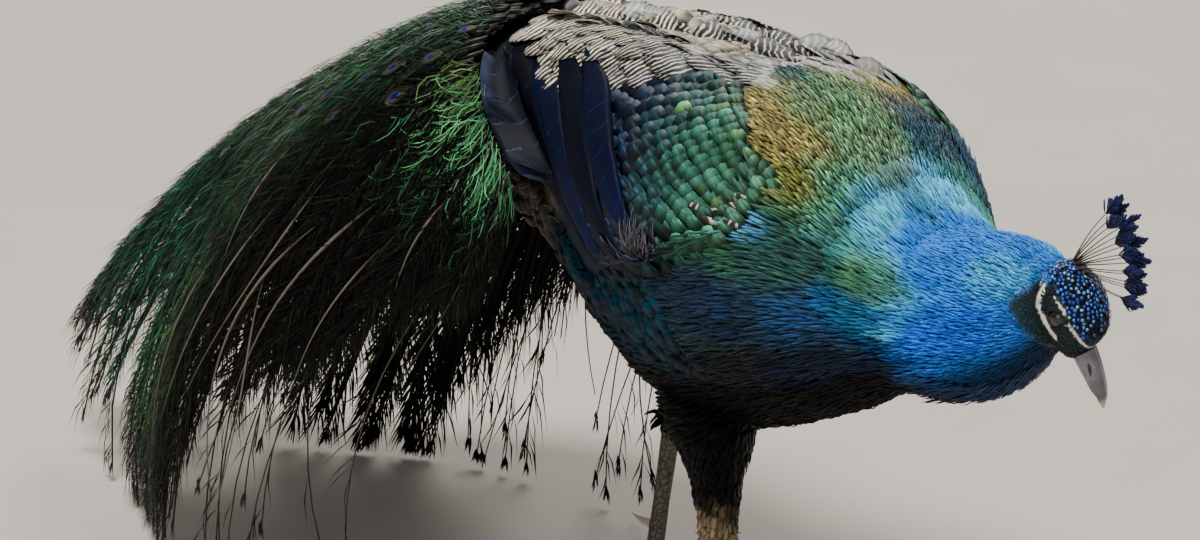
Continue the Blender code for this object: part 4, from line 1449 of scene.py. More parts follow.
def build_wings(settings):
    """Long feathers, coverts, barred scapulars and back, and the tufts under the wings."""
    tree = surface()
    rng = np.random.default_rng(41)
    long_feathers(
        "secondary_vanes", surface(TRAIN_LOCKS), LONG_FEATHERS, 1.4, "flight",
        pair("secondaries"),
    )
    columns = [-4.6]
    while columns[-1] < 11.6:
        columns.append(columns[-1] + float(np.interp(columns[-1], (-4, 12), (0.86, 0.55))))
    front = wing_rows(rng, columns, 0.07, 0, lambda x: float(np.interp(x, (-4, 12), (1.35, 0.90))), 1.9)
    front = [row for row in front if row[0] > -4.4 + 0.10 * max(30 - row[1], 0)]
    wing_piece(
        "covert_vanes", tree, rng, front, "wing", covert_colour, "green_feathers", pair("coverts"),
        0.0022, lambda x, angle: float(np.interp(x, (-4, 8), (0.35, 0.60))),
    )

    def cream(x, angle, rng):
        share = float(soft(-10, 0, x))
        return np.array(CREAM) * (1 - share) + np.array(GREY_CREAM) * share

    def grey(x, angle, rng):
        return shade(192, 200, 194)

    upper = wing_rows(rng, np.arange(-16.4, 3.7, 0.95), 0.12, 1, lambda x: 1.75, 2.0)
    patches = [(x + rng.normal(0, 0.15), *rest) for x, *rest in BARRED_SPOTS]
    wing_piece(
        "scapular_vanes", tree, rng, upper + patches, "barred", cream, "barred_feathers",
        pair("scapulars"), 0.0028, lambda x, angle: float(np.interp(x, (-14, -6, 3), (-0.35, -0.25, 0.0))),
    )
    back = []
    for row, x in enumerate(np.arange(-17.0, 6.0, 0.9)):
        high = float(np.interp(x, (-17, 0, 2.3, 6), (99, 99, 92, 78)))
        for angle in np.arange(79 + 3.5 * (row % 2), high, 7.0):
            back.append((x + rng.normal(0, 0.1), angle + rng.normal(0, 0.6), 3.2, 1.7))
    wing_piece(
        "back_vanes", tree, rng, back, "pale_barred", grey, "barred_feathers", (), 0.0016,
        lambda x, angle: 0.05,
    )
    shoulder = []
    for row, x in enumerate(np.arange(1.0, 7.4, 0.9)):
        for angle in np.arange(59 + 3 * (row % 2), 80, 6.5):
            shoulder.append((x + rng.normal(0, 0.15), angle + rng.normal(0, 1), 3.0, 1.6))
    wing_piece(
        "far_shoulder_vanes", tree, rng, shoulder, "pale_barred", cream, "barred_feathers", (), 0.0030,
        lambda x, angle: 0.35, (1,),
    )
    build_down(tree)


def build_down(tree):
    """A loose grey tuft that comes out from under each wing."""
    rng = np.random.default_rng(43)
    rows = []
    for k in range(DOWN_TUFTS):
        side = 1 if k % 2 else -1
        x, angle = 4.6 + rng.normal(0, 1.0), 8 + rng.normal(0, 3.0)
        root, up = on_skin(tree, side, x, angle)
        rise = np.array((rng.normal(-0.1, 0.35), 0, 1.0))
        lie = unit(level(rise, up) + up * rng.uniform(0.05, 0.30))
        long = rng.uniform(0.014, 0.026)
        size = (long, rng.uniform(0.0005, 0.0009), long * 0.4)
        mark = (side * 4 + x * 0.2, angle + rng.normal(0, 1))
        rows.append((root + up * 0.001, lie, up, size, shade(84, 76, 86), mark))
    roots, lies, ups, sizes, greys, marks = columns_of(rows)
    coat(
        "down_tufts", "barb", roots, lies, ups, sizes, tinted(greys, rng, 0.3), marks,
        feather_material("down"), "body_feathers",
    )


# ---- train ---------------------------------------------------------------------------------
# the closed mass of the train ends at these heights along x, and at these x up its end, in
# centimetres; beyond, only single strands hang on
MASS_LOW = (
    (-60, -47, -43, -37, -30.4, -25.5, -17.9, -12.3, -1, 0),
    (-33, -32, -27, -20, -15.1, -11.7, -6.9, -4, 1.8, 2),
)
MASS_END = ((-34, -29, -26, -23, -20), (-57.5, -54, -56, -62, -70))
# s, q and relative size of the small eyes on the near side
OCELLI = (
    (0.18, -0.47, 1.0), (0.17, -0.60, 1.0), (0.32, -0.35, 1.1), (0.10, -0.52, 0.8), (0.42, -0.12, 0.7),
    (0.48, -0.10, 0.7), (0.28, -0.15, 0.7), (0.05, -0.42, 0.7), (0.24, -0.26, 0.8), (0.30, -0.50, 0.8),
    (0.14, -0.30, 0.7), (0.38, -0.30, 0.8), (0.55, -0.16, 0.6), (0.24, -0.42, 0.8),
)
# q, s at both ends and radius in millimetres of the long bare shafts on the near side
BARE_SHAFTS = (
    (-0.78, 0.30, 0.72, 1.7), (-0.72, 0.40, 0.86, 1.6), (-0.66, 0.34, 0.74, 1.3), (-0.84, 0.36, 0.66, 1.1),
    (-0.60, 0.44, 0.80, 1.2), (-0.45, 0.38, 0.56, 1.1), (-0.69, 0.52, 0.92, 1.2),
    (-0.88, 0.20, 0.40, 1.4), (-0.50, 0.56, 0.84, 1.0),
)
FLOOR_GAP = 0.0012
# strands hang more often and carry more loose barbs where q is under the first, and shafts are dark
# where it is under the second
UPPER_TRAIN = 0.55
DARK_SHAFTS = 0.45
BARB_PIECES = 3
OCELLUS_LENGTH = 0.024
OCELLUS_LIFT = 0.0125


def mass_share(points):
    """1 inside the train's closed mass and 0 where only single strands hang."""
    x, _, z = (to_trunk(points) * 100).T
    low = np.interp(x, *MASS_LOW)
    end = np.interp(z, *MASS_END)
    return soft(-1.4, 1.2, z - low) * soft(-1.5, 1.5, x - end)


def beside_wing(points):
    """Where the folded wings lie over the root of the train."""
    x, _, angle = body_place(to_trunk(points))
    return (x > -18) & (angle > np.interp(x, *WING_UNDER) + 1) & (angle < 62)


def train_colours(s, q, rng):
    """Green and teal over the top, near black below and towards the tips."""
    s, q = np.asarray(s, float), np.abs(np.asarray(q, float))
    count = len(s)
    top = soft(0.62, 0.32, q) * soft(0.88, 0.72, s)
    pick = rng.random(count)
    colours = np.tile(shade(16, 15, 13), (count, 1))
    colours = mixed(colours, shade(44, 40, 24), (pick < 0.07) * 1.0)
    colours = mixed(colours, shade(14, 34, 24), (pick > 0.80) * 0.8)
    greens = np.tile(shade(22, 46, 34), (count, 1))
    greens = mixed(greens, shade(56, 118, 72), (pick < 0.30) * 1.0)
    greens = mixed(greens, shade(36, 92, 82), ((pick > 0.30) & (pick < 0.38)) * 1.0)
    # painted sheen: a pale grey-green laid on some of the top feathers near the rump, where light glances off the
    # train
    pale = ((pick > 0.38) & (pick < 0.72)) * soft(0.55, 0.3, s) * soft(0.48, 0.15, q)
    greens = mixed(greens, shade(150, 166, 152), pale)
    greens = mixed(greens, shade(14, 18, 15), (pick > 0.76) * 1.0)
    colours = colours * (1 - top[:, None]) + greens * top[:, None]
    tips = soft(0.48, 0.60, s) * soft(0.86, 0.74, s) * soft(0.42, 0.22, q) * (pick < 0.42)
    colours = mixed(colours, shade(48, 128, 104), tips)
    strokes = soft(0.45, 0.60, s) * soft(0.85, 0.75, s) * soft(0.20, 0.3, q) * soft(0.55, 0.45, q)
    return mixed(colours, shade(84, 140, 40), strokes * ((pick > 0.30) & (pick < 0.36)))


def train_feathers(settings):
    """The train's feathers in three layers, long ones lowest: q, s at both ends and lift of each."""
    rng = np.random.default_rng(51)
    made = []
    layers = ((0.52, (0.88, 1.0), 0.0), (0.28, (0.55, 0.88), 0.004), (0.20, (0.26, 0.55), 0.007))
    for share, ends, lift in layers:
        number = int(settings.train_feathers * share)
        for k in range(number):
            q = -1 + 2 * (k + rng.uniform(0.1, 0.9)) / number
            made.append((q, rng.uniform(0, 0.06), rng.uniform(*ends), lift))
    return made


def train_path_of(q, s0, s1, lift, rng, steps=15):
    """Points, directions, outward directions, s and q along one feather."""
    sway, bend = rng.normal(0, 0.05), rng.normal(0, 0.03)
    t = np.linspace(0, 1, steps)
    s = s0 + (s1 - s0) * t
    place = np.clip(q + sway * t * t + bend * np.sin(3 * t), -1, 1)
    points, along, out = train_frames(s, place)
    points = points + out * (lift + 0.003 * np.sin(math.pi * t))[:, None]
    points[:, 2] = np.maximum(points[:, 2], FLOOR_GAP)
    return points, along, out, s, place


class Blades:
    """Long thin closed strips of four corners, gathered into one mesh."""

    def __init__(self):
        self.points, self.faces, self.tints, self.vanes, self.uvs = [], [], [], [], []

    def add(self, centre, side, up, wide, thick, tints, uvs):
        """A strip through the centres; width and thickness are half measures."""
        first, steps = len(self.points), len(centre)
        for k in range(steps):
            a, b = side[k] * wide[k], up[k] * thick[k]
            self.points += [centre[k] + a, centre[k] + b, centre[k] - a, centre[k] - b]
            t = k / (steps - 1)
            self.vanes += [(t, 1, 0), (t, 0, 0), (t, -1, 0), (t, 0, 0)]
            self.tints += [tints[k]] * 4
            self.uvs += [uvs[k]] * 4
        for row in range(steps - 1):
            a, b = first + 4 * row, first + 4 * row + 4
            for n in range(4):
                m = (n + 1) % 4
                self.faces.append((a + n, b + n, b + m, a + m))
        end = first + 4 * (steps - 1)
        self.faces += [tuple(range(first, first + 4)), tuple(range(end + 3, end - 1, -1))]

    def build(self, name, material, slot_name, nodes=()):
        mesh = mesh_of(name, self.points, self.faces)
        put(mesh, "tint", "FLOAT_COLOR", with_alpha(np.clip(np.array(self.tints), 0, 1)))
        put(mesh, "vane", "FLOAT_VECTOR", self.vanes)
        if len(set(map(tuple, self.uvs))) > 1:
            corners = np.array(self.uvs)[[loop.vertex_index for loop in mesh.loops]]
            put(mesh, "OFBake", "FLOAT2", corners, "CORNER")
        mesh.materials.append(material)
        return finished(name, outward(mesh), nodes)


def both_sides(out, along, number):
    """The way out to the side for each barb of a feather, left and right by turns."""
    return unit(np.cross(out, along)) * np.where(np.arange(number) % 2, 1, -1)[:, None]


def train_uvs(s, place):
    return np.stack((0.03 + 0.94 * np.asarray(s), 0.5 + 0.47 * np.asarray(place)), 1)


def barbs_of(path, number, rng, loose):
    """Barbs on both sides of a feather, as rows for coat_of_rows with s and q for marks."""
    points, along, out, s, place = path
    t = 0.04 + 0.95 * (np.arange(number) + rng.random(number)) / number
    at = t * (len(s) - 1)
    low = np.minimum(at.astype(int), len(s) - 2)
    f = (at - low)[:, None]
    root = points[low] * (1 - f) + points[low + 1] * f
    share = mass_share(root) + loose * np.interp(s[low], (0.72, 0.86), (0.35, 1))
    keep = (rng.random(number) < share) & ~beside_wing(root)
    side = both_sides(out[low], along[low], number)
    opening = np.radians(rng.normal(np.interp(t, (0, 0.7, 1), (34, 26, 14)), 6))[:, None]
    heading = along[low] * np.cos(opening) + side * np.sin(opening)
    heading = heading + out[low] * rng.normal(0.02, 0.09, (number, 1))
    heading[:, 2] -= 0.18 * t
    heading = unit(heading)
    long = rng.uniform(0.6, 1.15, number) * np.interp(t, (0, 0.3, 0.8, 1), (0.026, 0.044, 0.048, 0.040))
    tip = root[:, 2] + heading[:, 2] * long
    short = np.clip((root[:, 2] - FLOOR_GAP) / np.maximum(root[:, 2] - tip, 1e-6), 0.15, 1)
    long = long * np.where(tip < FLOOR_GAP, short, 1)
    wide = rng.uniform(0.00035, 0.0007, number) * np.interp(s[low], (0.7, 0.9), (1, 1.45))
    rows = np.column_stack((root, heading, out[low], long, wide, s[low], place[low]))
    return rows[keep]


def forked_end(path, rng):
    """The short fork of dark barbs at the end of a hanging strand."""
    points, along, out = (part[-1] for part in path[:3])
    number = 12
    side = both_sides(out, along, number)
    heading = along + np.array((0, 0, -0.5)) + side * rng.uniform(0.15, 0.5, (number, 1))
    root = points - along * rng.uniform(0, 0.010, (number, 1))
    root[:, 2] = np.maximum(root[:, 2], 0.016)
    long = rng.uniform(0.009, 0.015, number)
    wide = rng.uniform(0.0006, 0.0010, number)
    spot = np.tile((path[3][-1], path[4][-1]), (number, 1))
    return np.column_stack((root, unit(heading), np.tile(out, (number, 1)), long, wide, spot))


def bare_shafts(shafts, rng):
    """The long bare shafts over the train, thickest a little after their roots."""
    for q, s0, s1, radius in BARE_SHAFTS:
        for mirror in (1, -1):
            points, along, out, s, place = train_path_of(mirror * q, s0, s1, 0.011, rng)
            t = np.linspace(0, 1, len(s))
            thick = radius / 1000 * np.minimum(1, 0.15 + 4 * t) * (1 - 0.7 * t)
            side = unit(np.cross(out, along))
            tone = np.interp(t, (0, 0.3, 1), (0.3, 1.0, 0.5))[:, None] * shade(124, 115, 102)
            shafts.add(points, side, out, thick, thick, tone, train_uvs(s, place))


def build_train(settings):
    """Vanes, shafts and barbs of the long feathers, then bare shafts, small eyes and green down."""
    rng = np.random.default_rng(52)
    vanes, shafts, barbs = Blades(), Blades(), []
    for q, s0, s1, lift in train_feathers(settings):
        upper = abs(q) < UPPER_TRAIN
        grid = np.linspace(s0, s1, 24)
        places = np.array([train_point(s, q) for s in grid])
        covered = np.flatnonzero(beside_wing(places))
        if len(covered):
            s0 = grid[min(covered[-1] + 1, 12)]
        thin = np.flatnonzero(mass_share(places) < 0.5)
        hanging = len(thin) > 0 and rng.random() < (0.80 if upper else 0.42)
        if len(thin) and not hanging:
            s1 = max(grid[thin[0]] + rng.uniform(0, 0.05), s0 + 0.1)
        path = train_path_of(q, s0, s1, lift, rng)
        points, along, out, s, place = path
        steps = len(s)
        t = np.linspace(0, 1, steps)
        side, uvs = unit(np.cross(out, along)), train_uvs(s, place)
        closed = mass_share(points)
        wide = rng.uniform(0.0055, 0.0085) * np.minimum(1, 0.35 + 3 * t) * (1 - t) ** 0.6 * closed
        tints = train_colours(s, place, rng) * 0.35
        vanes.add(points, side, out, wide + 0.0004, np.full(steps, 0.0005), tints, uvs)
        pale = np.array(shade(104, 96, 84)) * rng.uniform(0.05, 0.30)
        tone = shade(26, 24, 20) if abs(q) < DARK_SHAFTS else pale
        thick = 0.0007 * (1 - t) + 0.0003
        shafts.add(points + out * 0.0006, side, out, thick, thick, np.tile(tone, (steps, 1)), uvs)
        number = int(settings.train_barbs * (s1 - s0))
        loose = (0.55 if upper else 0.10) if hanging else 0.02
        barbs.append(barbs_of(path, number, rng, loose))
        if hanging:
            barbs.append(forked_end(path, rng))
    bare_shafts(shafts, rng)
    vanes.build("train_vanes", feather_material("train"), "train_feathers", TRAIN_LOCKS)
    shafts.build("train_shafts", material_named("shafts", shaft_look), "train_feathers")
    barbs = np.concatenate(barbs)
    colours = train_colours(*barbs[:, -2:].T, rng) * np.exp(rng.normal(0, 0.35, (len(barbs), 1)))
    colours = np.clip(colours, 0, 1)
    for k in range(BARB_PIECES):
        part, tints = barbs[k::BARB_PIECES], colours[k::BARB_PIECES]
        coat_of_rows(f"train_barbs_{k}", "needle", part, 0.30, tints, "train", "train_feathers")
    build_ocelli()
    build_green_down()


def build_ocelli():
    """Small eyes on the short upper feathers of the train, seen nearly edge on."""
    rng = np.random.default_rng(53)
    rows = []
    for s, q, scale in OCELLI:
        for mirror in (1, -1):
            point, along, out = train_frame(s, mirror * q)
            lie = unit(along + 0.08 * out)
            long = OCELLUS_LENGTH * scale
            root = point + out * OCELLUS_LIFT - lie * long * 0.55
            size = (long, long * rng.uniform(0.26, 0.32), long * 0.2)
            rows.append((root, lie, out, size, shade(22, 60, 36), (s, mirror * q)))
    coat("train_ocelli", "broad", *columns_of(rows), material_named("ocelli", ocellus_look), "train_feathers")


def build_green_down():
    """Loose bright green curled strands behind each wing."""
    rng = np.random.default_rng(54)
    count = GREEN_DOWN
    s = rng.uniform(0.0, 0.26, count)
    q = rng.uniform(0.60, 1.0, count) * np.where(rng.random(count) < 0.5, -1, 1)
    points, along, out = train_frames(s, q)
    free = ~beside_wing(points)
    s, q, points, along, out = (part[free] for part in (s, q, points, along, out))
    count = len(s)
    side = unit(np.cross(out, along))
    heading = along + side * rng.normal(0, 0.5, (count, 1)) + out * rng.normal(0.06, 0.10, (count, 1))
    heading[:, 2] -= rng.uniform(0, 0.4, count)
    heading = unit(heading)
    across = unit(np.cross(out, heading)) * np.where(rng.random(count) < 0.65, 1, -1)[:, None]
    facing = unit(across + out * rng.uniform(0.1, 0.9, (count, 1)))
    long = rng.uniform(0.016, 0.034, count)
    size = np.stack((long, rng.uniform(0.0002, 0.00038, count), long * rng.uniform(0.4, 1.4, count)), 1)
    bright = soft(0.24, 0.10, s) * soft(0.58, 0.72, np.abs(q)) * soft(1.02, 0.90, np.abs(q))
    colours = mixed(np.tile(shade(44, 84, 56), (count, 1)), shade(112, 190, 130), bright)
    yellow = soft(0.10, 0.04, s) * soft(0.80, 0.70, np.abs(q))
    colours = mixed(colours, shade(118, 132, 70), yellow * 0.45)
    lift = out * rng.uniform(0.001, 0.008, (count, 1))
    coat(
        "green_down", "curl", points + lift, heading, facing, size, tinted(colours, rng, 0.45),
        np.stack((s, q), 1), feather_material("train"), "train_feathers",
    )


def build_tail(settings):
    """Stiff brown feathers under the train."""
    rng = np.random.default_rng(55)
    slope = math.radians(31)
    rows = []
    for k in range(TAIL_FEATHERS):
        share = 2 * k / (TAIL_FEATHERS - 1) - 1
        turn = math.radians(24) * share
        lie = np.array((-math.cos(turn) * math.cos(slope), math.sin(turn), -math.cos(turn) * math.sin(slope)))
        long = 0.195 * (1 - 0.2 * share**2)
        root = MIDDLE + (-0.305, 0, 0.004) + lie * 0.015
        rows.append((root, lie, (0, 0, 1), (long, 0.013, long * 0.1), BROWN, (share, rng.random())))
    roots, lies, ups, sizes, browns, marks = columns_of(rows)
    coat(
        "tail_vanes", "broad", roots, lies, ups, sizes, tinted(browns, rng, 0.1), marks,
        feather_material("down"), "tail_feathers", ("tail",),
    )


# ---- head ----------------------------------------------------------------------------------
def smooth_copy(name, voxel, rounds, material, reach=None):
    """A rounded copy of a CAD node that stands for it."""
    mesh = remeshed(joined((name,)), voxel)
    smoothed(mesh, rounds)
    if reach:
        put(mesh, "reach", "FLOAT", reach(points_of(mesh)))
    return smooth_piece(name + "_finish", mesh, material, (name,))


def bill_look(tree):
    """Grey horn with a pale ridge, cutting edge and tip."""
    streak = noise(tree, 330.0, 5.0)
    cloudy = ramp(tree, noise(tree, 60.0, 2.0), 0.35, 0.65)
    colour = blended(tree, cloudy, shade(78, 74, 80), shade(120, 116, 122))
    # the pale attribute holds the painted highlight along the upper ridge and the cutting edge's own paler colour
    colour = washed(tree, colour, attribute(tree, "pale", "Fac"), 0.75, shade(172, 168, 172))
    tip = ramp(tree, attribute(tree, "reach", "Fac"), 6.5, 7.1)
    colour = blended(tree, tip, colour, shade(206, 196, 158))
    return {
        "Base Color": washed(tree, colour, streak, 0.4, shade(84, 78, 84)),
        "Roughness": 0.42,
        "Normal": bumped(tree, 0.35, 0.0002, streak),
        "Coat Weight": 0.1,
    }


# the slit of a nostril, ahead and up in centimetres
NOSTRIL = ((4.00, -0.03), (4.22, -0.06), (4.45, -0.13), (4.68, -0.22), (4.88, -0.32))


def build_bill(settings):
    """Both halves of the bill with pale edges, and the nostrils."""
    horn = material_named("bill_horn", bill_look)
    for name in ("bill_upper", "bill_lower"):
        piece = smooth_copy(name, 0.0005, 3, horn, lambda p: to_head(p)[:, 0])
        ahead, left, up = to_head(points_of(piece.data)).T
        # painted highlight along the top of the upper bill
        ridge = soft(0.20, 0.05, np.abs(left)) * (name == "bill_upper")
        mouth = np.interp(ahead, (3.0, 5.5, 7.1), (-0.72, -0.72, -0.85))
        edge = soft(0.16, 0.05, np.abs(up - mouth)) * soft(6.6, 5.4, ahead)
        put(piece.data, "pale", "FLOAT", np.maximum(ridge, edge * 0.8))
    tree = BVHTree.FromObject(bpy.data.objects["bill_upper_finish"], bpy.context.evaluated_depsgraph_get())
    slits = Blades()
    for side in (1, -1):
        centre, ups, alongs = [], [], []
        for ahead, up in NOSTRIL:
            start = HEAD @ (Vector((ahead, side * 3, up)) / 100)
            hit, normal, _, _ = tree.ray_cast(start, HEAD.to_3x3() @ Vector((0, -side, 0)))
            centre.append(np.array(hit))
            ups.append(np.array(normal))
        centre, ups = np.array(centre), np.array(ups)
        alongs = unit(np.gradient(centre, axis=0))
        wide = np.array((0.0003, 0.0010, 0.0012, 0.0009, 0.0003))
        # painted shade: dark strips laid on the bill stand for the shaded slits of the nostrils
        tints = np.tile(shade(44, 34, 32), (len(NOSTRIL), 1))
        uvs = np.full((len(NOSTRIL), 2), 0.5)
        slits.add(centre, unit(np.cross(ups, alongs)), ups, wide, np.full(5, 0.0003), tints, uvs)
    slits.build("nostrils", material_named("nostril_dark", shaft_look), "bill")


def build_eyes(settings):
    """Two eyeballs, each in a rolled lid."""
    look = material_named("eye_wet", eye_look)
    lid = material_named("eyelids", horn_look, shade(30, 36, 44), shade(12, 14, 18), 0, 9, 0.5)
    for word, side in (("left", 1), ("right", -1)):
        middle = Vector((EYE_AHEAD, side * EYE_OUT, EYE_UP))
        build_eyeball(word, side, middle, look)
        build_lids(word, side, middle, lid)


def build_eyeball(word, side, middle, look):
    """A ball that faces out and a little ahead; its reach is 0 in the pupil's middle and 1 behind."""
    ball = bmesh.new()
    bmesh.ops.create_uvsphere(ball, u_segments=64, v_segments=40, radius=EYE_RADIUS)
    gaze = (HEAD.to_3x3() @ Vector((0.10, side, 0.05))).normalized()
    turn = gaze.to_track_quat("Z", "Y").to_matrix().to_4x4()
    centre = HEAD @ middle
    ball.transform(Matrix.Translation(centre) @ turn)
    mesh = bpy.data.meshes.new("eyeball_" + word)
    ball.to_mesh(mesh)
    ball.free()
    offset = points_of(mesh) - np.array(centre)
    ahead = offset @ np.array(gaze)
    flat = np.linalg.norm(offset - np.outer(ahead, gaze), axis=1)
    put(mesh, "reach", "FLOAT", np.where(ahead < 0, 1.0, flat / EYE_RADIUS))
    smooth_piece("eyeball_" + word, mesh, look, ("eye_" + word,))


def build_lids(word, side, middle, lid):
    """One rolled rim round the eye, thicker above than below."""
    points, faces = [], []
    rings, sides = 48, 10
    out = Vector((0, side, 0))
    for k in range(rings):
        a = 2 * math.pi * k / rings
        opening = 0.0058 if math.sin(a) > 0 else 0.0064
        across = Vector((math.cos(a) * 0.0070, 0, math.sin(a) * opening))
        outside = across.normalized()
        bulge = out * math.sqrt(max(LID_RADIUS**2 - across.length_squared, 0))
        thick = 0.0006 + 0.0004 * max(math.sin(a), 0)
        for n in range(sides):
            b = 2 * math.pi * n / sides
            ring = outside * math.cos(b) * thick * 1.5 + out * math.sin(b) * thick
            points.append(HEAD @ (middle + across + bulge + ring))
    for k in range(rings):
        for n in range(sides):
            a, b = k * sides, (k + 1) % rings * sides
            m = (n + 1) % sides
            face = (a + n, a + m, b + m, b + n)
            faces.append(face if side > 0 else face[::-1])
    mesh = mesh_of("lids_" + word, points, faces)
    put(mesh, "reach", "FLOAT", np.zeros(len(points)))
    mesh.materials.append(lid)
    finished("lids_" + word, mesh)



def build_crest(settings):
    """Bare stems in a fan, each with a pointed brush of blue-black barbs at its end."""
    rng = np.random.default_rng(61)
    turn = np.array(HEAD.to_3x3())
    start = np.array((-0.0235, 0, 0.0222))
    stems = Blades()
    rows, colours = [], []
    for k in range(CREST_STEMS):
        share = k / (CREST_STEMS - 1)
        angle = math.radians(12 + 73 * (share - 0.5))
        sway = 0.10 * math.sin(2.4 * k)
        ahead = unit((math.sin(angle), sway, math.cos(angle)))
        across = unit(np.cross(ahead, (0, 1, 0)))
        other = np.cross(ahead, across)
        length = np.interp(share, (0, 0.5, 1), (0.063, 0.055, 0.052)) * (1 - 0.04 * (k % 3))
        base = start + (0.008 * (share - 0.5), 0.0014 * math.sin(5 * k), -0.003)
        t = np.linspace(0, 1, 10)
        bow = across * 0.0030 * (share - 0.5) * 2
        path = base + ahead * length * 0.96 * t[:, None] - bow * np.sin(math.pi * t)[:, None]
        world = np.array([HEAD @ Vector(point) for point in path])
        thick = 0.00050 * (1 - 0.5 * t) + 0.0005 * np.maximum(0, 0.25 - t)
        side, up = np.tile(turn @ across, (10, 1)), np.tile(turn @ other, (10, 1))
        uvs = np.stack((np.full(10, 0.05 + 0.9 * share), 0.03 + 0.9 * t), 1)
        stems.add(world, side, up, thick, thick, np.tile(shade(74, 58, 46), (10, 1)), uvs)
        for n in range(CREST_BARBS):
            t = rng.uniform(0.68, 0.97)
            reach = (t - 0.68) / 0.29
            centre = base + ahead * length * t - bow * math.sin(math.pi * t)
            spread = rng.uniform(-1, 1) * (0.85 - 0.60 * reach)
            heading = turn @ unit(ahead + across * spread + other * rng.normal(0, 0.08))
            facing = turn @ (other if n % 2 else -other)
            long = 0.0085 * (1 - reach) + rng.uniform(0.0030, 0.0046)
            place = np.array(HEAD @ Vector(centre))
            rows.append((*place, *heading, *facing, long, 0.0008, share + 0.02 * rng.random(), t))
            colours.append(shade(24, 30, 84) if n % 4 else shade(16, 56, 92))
    stems.build("crest_stems", material_named("shafts", shaft_look), "crest_feathers", ("crest",))
    colours = tinted(np.array(colours), rng, 0.3)
    coat_of_rows("crest_brushes", "hair", np.array(rows), 0.2, colours, "head", "crest_feathers")


# ---- legs ----------------------------------------------------------------------------------
def build_legs(settings):
    """Scaled shanks and feet, with claws and spurs of horn."""
    scales = material_named("leg_scutes", scale_look)
    dark = material_named("claw_horn", horn_look, shade(96, 88, 78), shade(48, 42, 38), 0, 1, 0.4)
    pale = material_named("spur_horn", horn_look, shade(222, 214, 198), shade(170, 158, 140), 0, 1, 0.4)
    for word in ("left", "right"):
        smooth_copy("tarsus_" + word, 0.0010, 3, scales)
        smooth_copy("foot_" + word, 0.0009, 3, scales)
        smooth_copy("spur_" + word, 0.0006, 2, pale, constant(0))
        for toe in ("hind", "inner", "middle", "outer"):
            smooth_copy(f"claw_{toe}_{word}", 0.0004, 2, dark, constant(0))


# ---- stage ---------------------------------------------------------------------------------
# where the camera looks from the trunk's middle, its turn to the right side and its height in degrees
CAMERA_AIM = Vector((-0.055, -0.073, -0.035))
CAMERA_TURNS = (45, 20)
CAMERA_AWAY = 5.0
CAMERA_LENS = 214.5
FLOOR_HALF = 9


def lamp(name, place, aim, size, power, colour):
    """A round soft lamp that faces the aim."""
    data = bpy.data.lights.new(name, "AREA")
    data.shape = "DISK"
    data.size = size
    data.energy = power
    data.color = colour
    made = linked(name, data)
    made.location = place
    made.rotation_euler = (Vector(aim) - Vector(place)).to_track_quat("-Z", "Y").to_euler()


def floor_look(tree):
    colour = blended(tree, noise(tree, 6.0, 4.0), shade(196, 188, 178), shade(208, 200, 190))
    return {"Base Color": colour, "Roughness": 0.9}


def build_stage(settings):
    """The floor, three lamps, the backdrop and the camera."""
    aim = Vector(MIDDLE) + CAMERA_AIM
    turn, tilt = map(math.radians, CAMERA_TURNS)
    back = Vector((math.sin(turn) * math.cos(tilt), -math.cos(turn) * math.cos(tilt), math.sin(tilt)))
    data = bpy.data.cameras.new("camera")
    data.lens = CAMERA_LENS
    data.sensor_width = 36
    data.clip_end = 60
    camera = linked("camera", data)
    camera.location = aim + back * CAMERA_AWAY
    camera.rotation_euler = (-back).to_track_quat("-Z", "Y").to_euler()
    bpy.context.scene.camera = camera
    corners = [(x * FLOOR_HALF, y * FLOOR_HALF, 0) for x, y in ((-1, -1), (1, -1), (1, 1), (-1, 1))]
    mesh = mesh_of("floor", corners, ((0, 1, 2, 3),))
    mesh.materials.append(material_named("floor_paint", floor_look))
    linked("floor", mesh)
    lamp("key", (0.4, -1.3, 3.7), aim, 1.2, settings.key_power, (1.0, 0.97, 0.93))
    lamp("fill", (2.6, -3.6, 1.6), aim, 2.6, 0.20 * settings.key_power, (0.92, 0.96, 1.0))
    lamp("rim", (-1.6, 2.6, 2.6), aim, 1.8, 0.45 * settings.key_power, (1.0, 0.98, 0.95))
    world = bpy.context.scene.world or bpy.data.worlds.new("world")
    bpy.context.scene.world = world
    world.use_nodes = True
    backdrop = world.node_tree.nodes["Background"]
    backdrop.inputs[0].default_value = (0.80, 0.78, 0.75, 1)
    backdrop.inputs[1].default_value = 0.38


# ---- settings, operators and panel ---------------------------------------------------------
class PeacockSettings(bpy.types.PropertyGroup):
    """Measures that a maker may want to change before building."""

    skin_voxel: bpy.props.FloatProperty(
        name="Skin voxel", description="Size of the skin's faces", default=0.0028, unit="LENGTH"
    )
    coat_depth: bpy.props.FloatProperty(
        name="Coat depth", description="How far the skin lies inside the outline", default=0.0028,
        unit="LENGTH",
    )
    coat_spacing: bpy.props.FloatProperty(
        name="Coat spacing", description="Space between feather roots on the breast",
        default=0.0023, unit="LENGTH",
    )
    train_feathers: bpy.props.IntProperty(
        name="Train feathers", description="Number of long feathers in the train", default=250
    )
    train_barbs: bpy.props.IntProperty(
        name="Train barbs", description="Barbs on a train feather of full length", default=360
    )
    key_power: bpy.props.FloatProperty(
        name="Key light", description="Power of the main lamp", default=170.0, unit="POWER"
    )


def settings_of(context):
    return context.scene.peacock


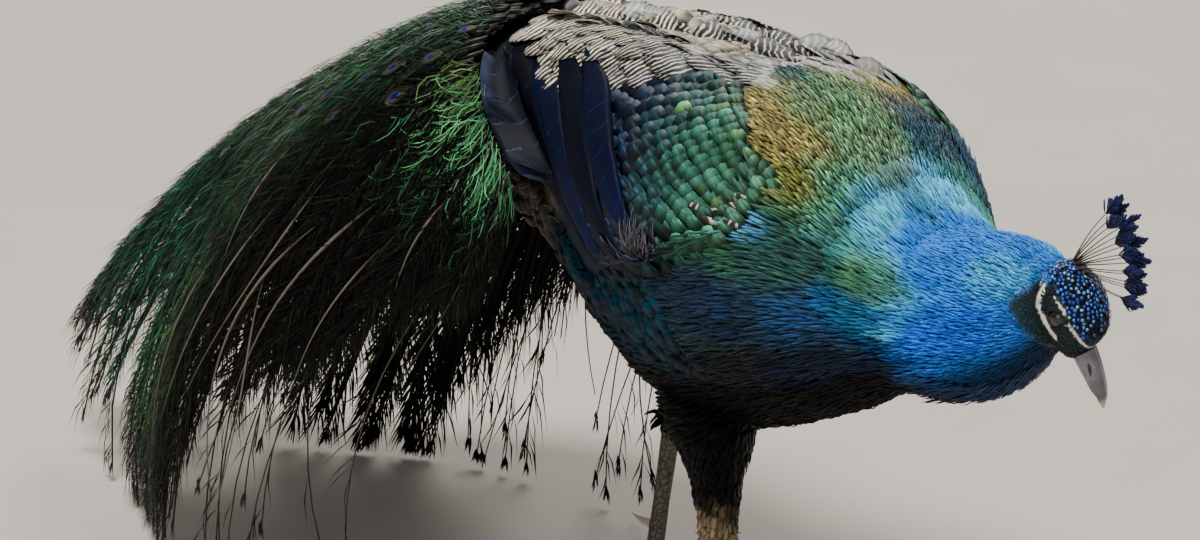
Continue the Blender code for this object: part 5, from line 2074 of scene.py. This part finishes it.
def operator(label, builder, text):
    """An operator class that runs one builder with the scene's settings."""
    name = "peacock." + builder.__name__

    def execute(self, context):
        builder(settings_of(context))
        return {"FINISHED"}

    body = {"__doc__": text, "bl_idname": name, "bl_label": label, "execute": execute}
    return type("PEACOCK_OT_" + builder.__name__, (bpy.types.Operator,), body)


OPERATORS = tuple(
    operator(label, builder, text)
    for label, builder, text in (
        ("Skin", build_skin, "Build the one skin over the flesh"),
        ("Body coat", build_body_coat, "Cover neck, breast, flanks, rump and thighs"),
        ("Head coat", build_head_coat, "Cover the head with its smallest feathers"),
        ("Wings", build_wings, "Lay the wing feathers in their rows"),
        ("Train", build_train, "Build the train's shafts, vanes, barbs and eyes"),
        ("Tail", build_tail, "Build the stiff tail under the train"),
        ("Bill", build_bill, "Round off the bill and set the nostrils"),
        ("Eyes", build_eyes, "Build the eyes and their lids"),
        ("Crest", build_crest, "Build the crest's stems and brushes"),
        ("Legs", build_legs, "Build scaled legs, feet, claws and spurs"),
        ("Stage", build_stage, "Set the floor, lamps and camera"),
    )
)


class PEACOCK_PT_panel(bpy.types.Panel):
    """The peacock's settings and one button for each group of pieces."""

    bl_label = "Peacock"
    bl_idname = "PEACOCK_PT_panel"
    bl_space_type = "VIEW_3D"
    bl_region_type = "UI"
    bl_category = "Peacock"

    def draw(self, context):
        for name in PeacockSettings.__annotations__:
            self.layout.prop(settings_of(context), name)
        for made in OPERATORS:
            self.layout.operator(made.bl_idname)


CLASSES = (PeacockSettings, *OPERATORS, PEACOCK_PT_panel)


def register():
    for made in CLASSES:
        bpy.utils.register_class(made)
    bpy.types.Scene.peacock = bpy.props.PointerProperty(type=PeacockSettings)


def unregister():
    del bpy.types.Scene.peacock
    for made in reversed(CLASSES):
        bpy.utils.unregister_class(made)


def clear_templates():
    for obj in [o for o in bpy.data.objects if o.name.startswith("vane_")]:
        dropped(obj)


def main():
    register()
    for made in OPERATORS:
        getattr(bpy.ops.peacock, made.bl_idname.split(".")[1])()
    clear_templates()


if __name__ == "__main__":
    main()
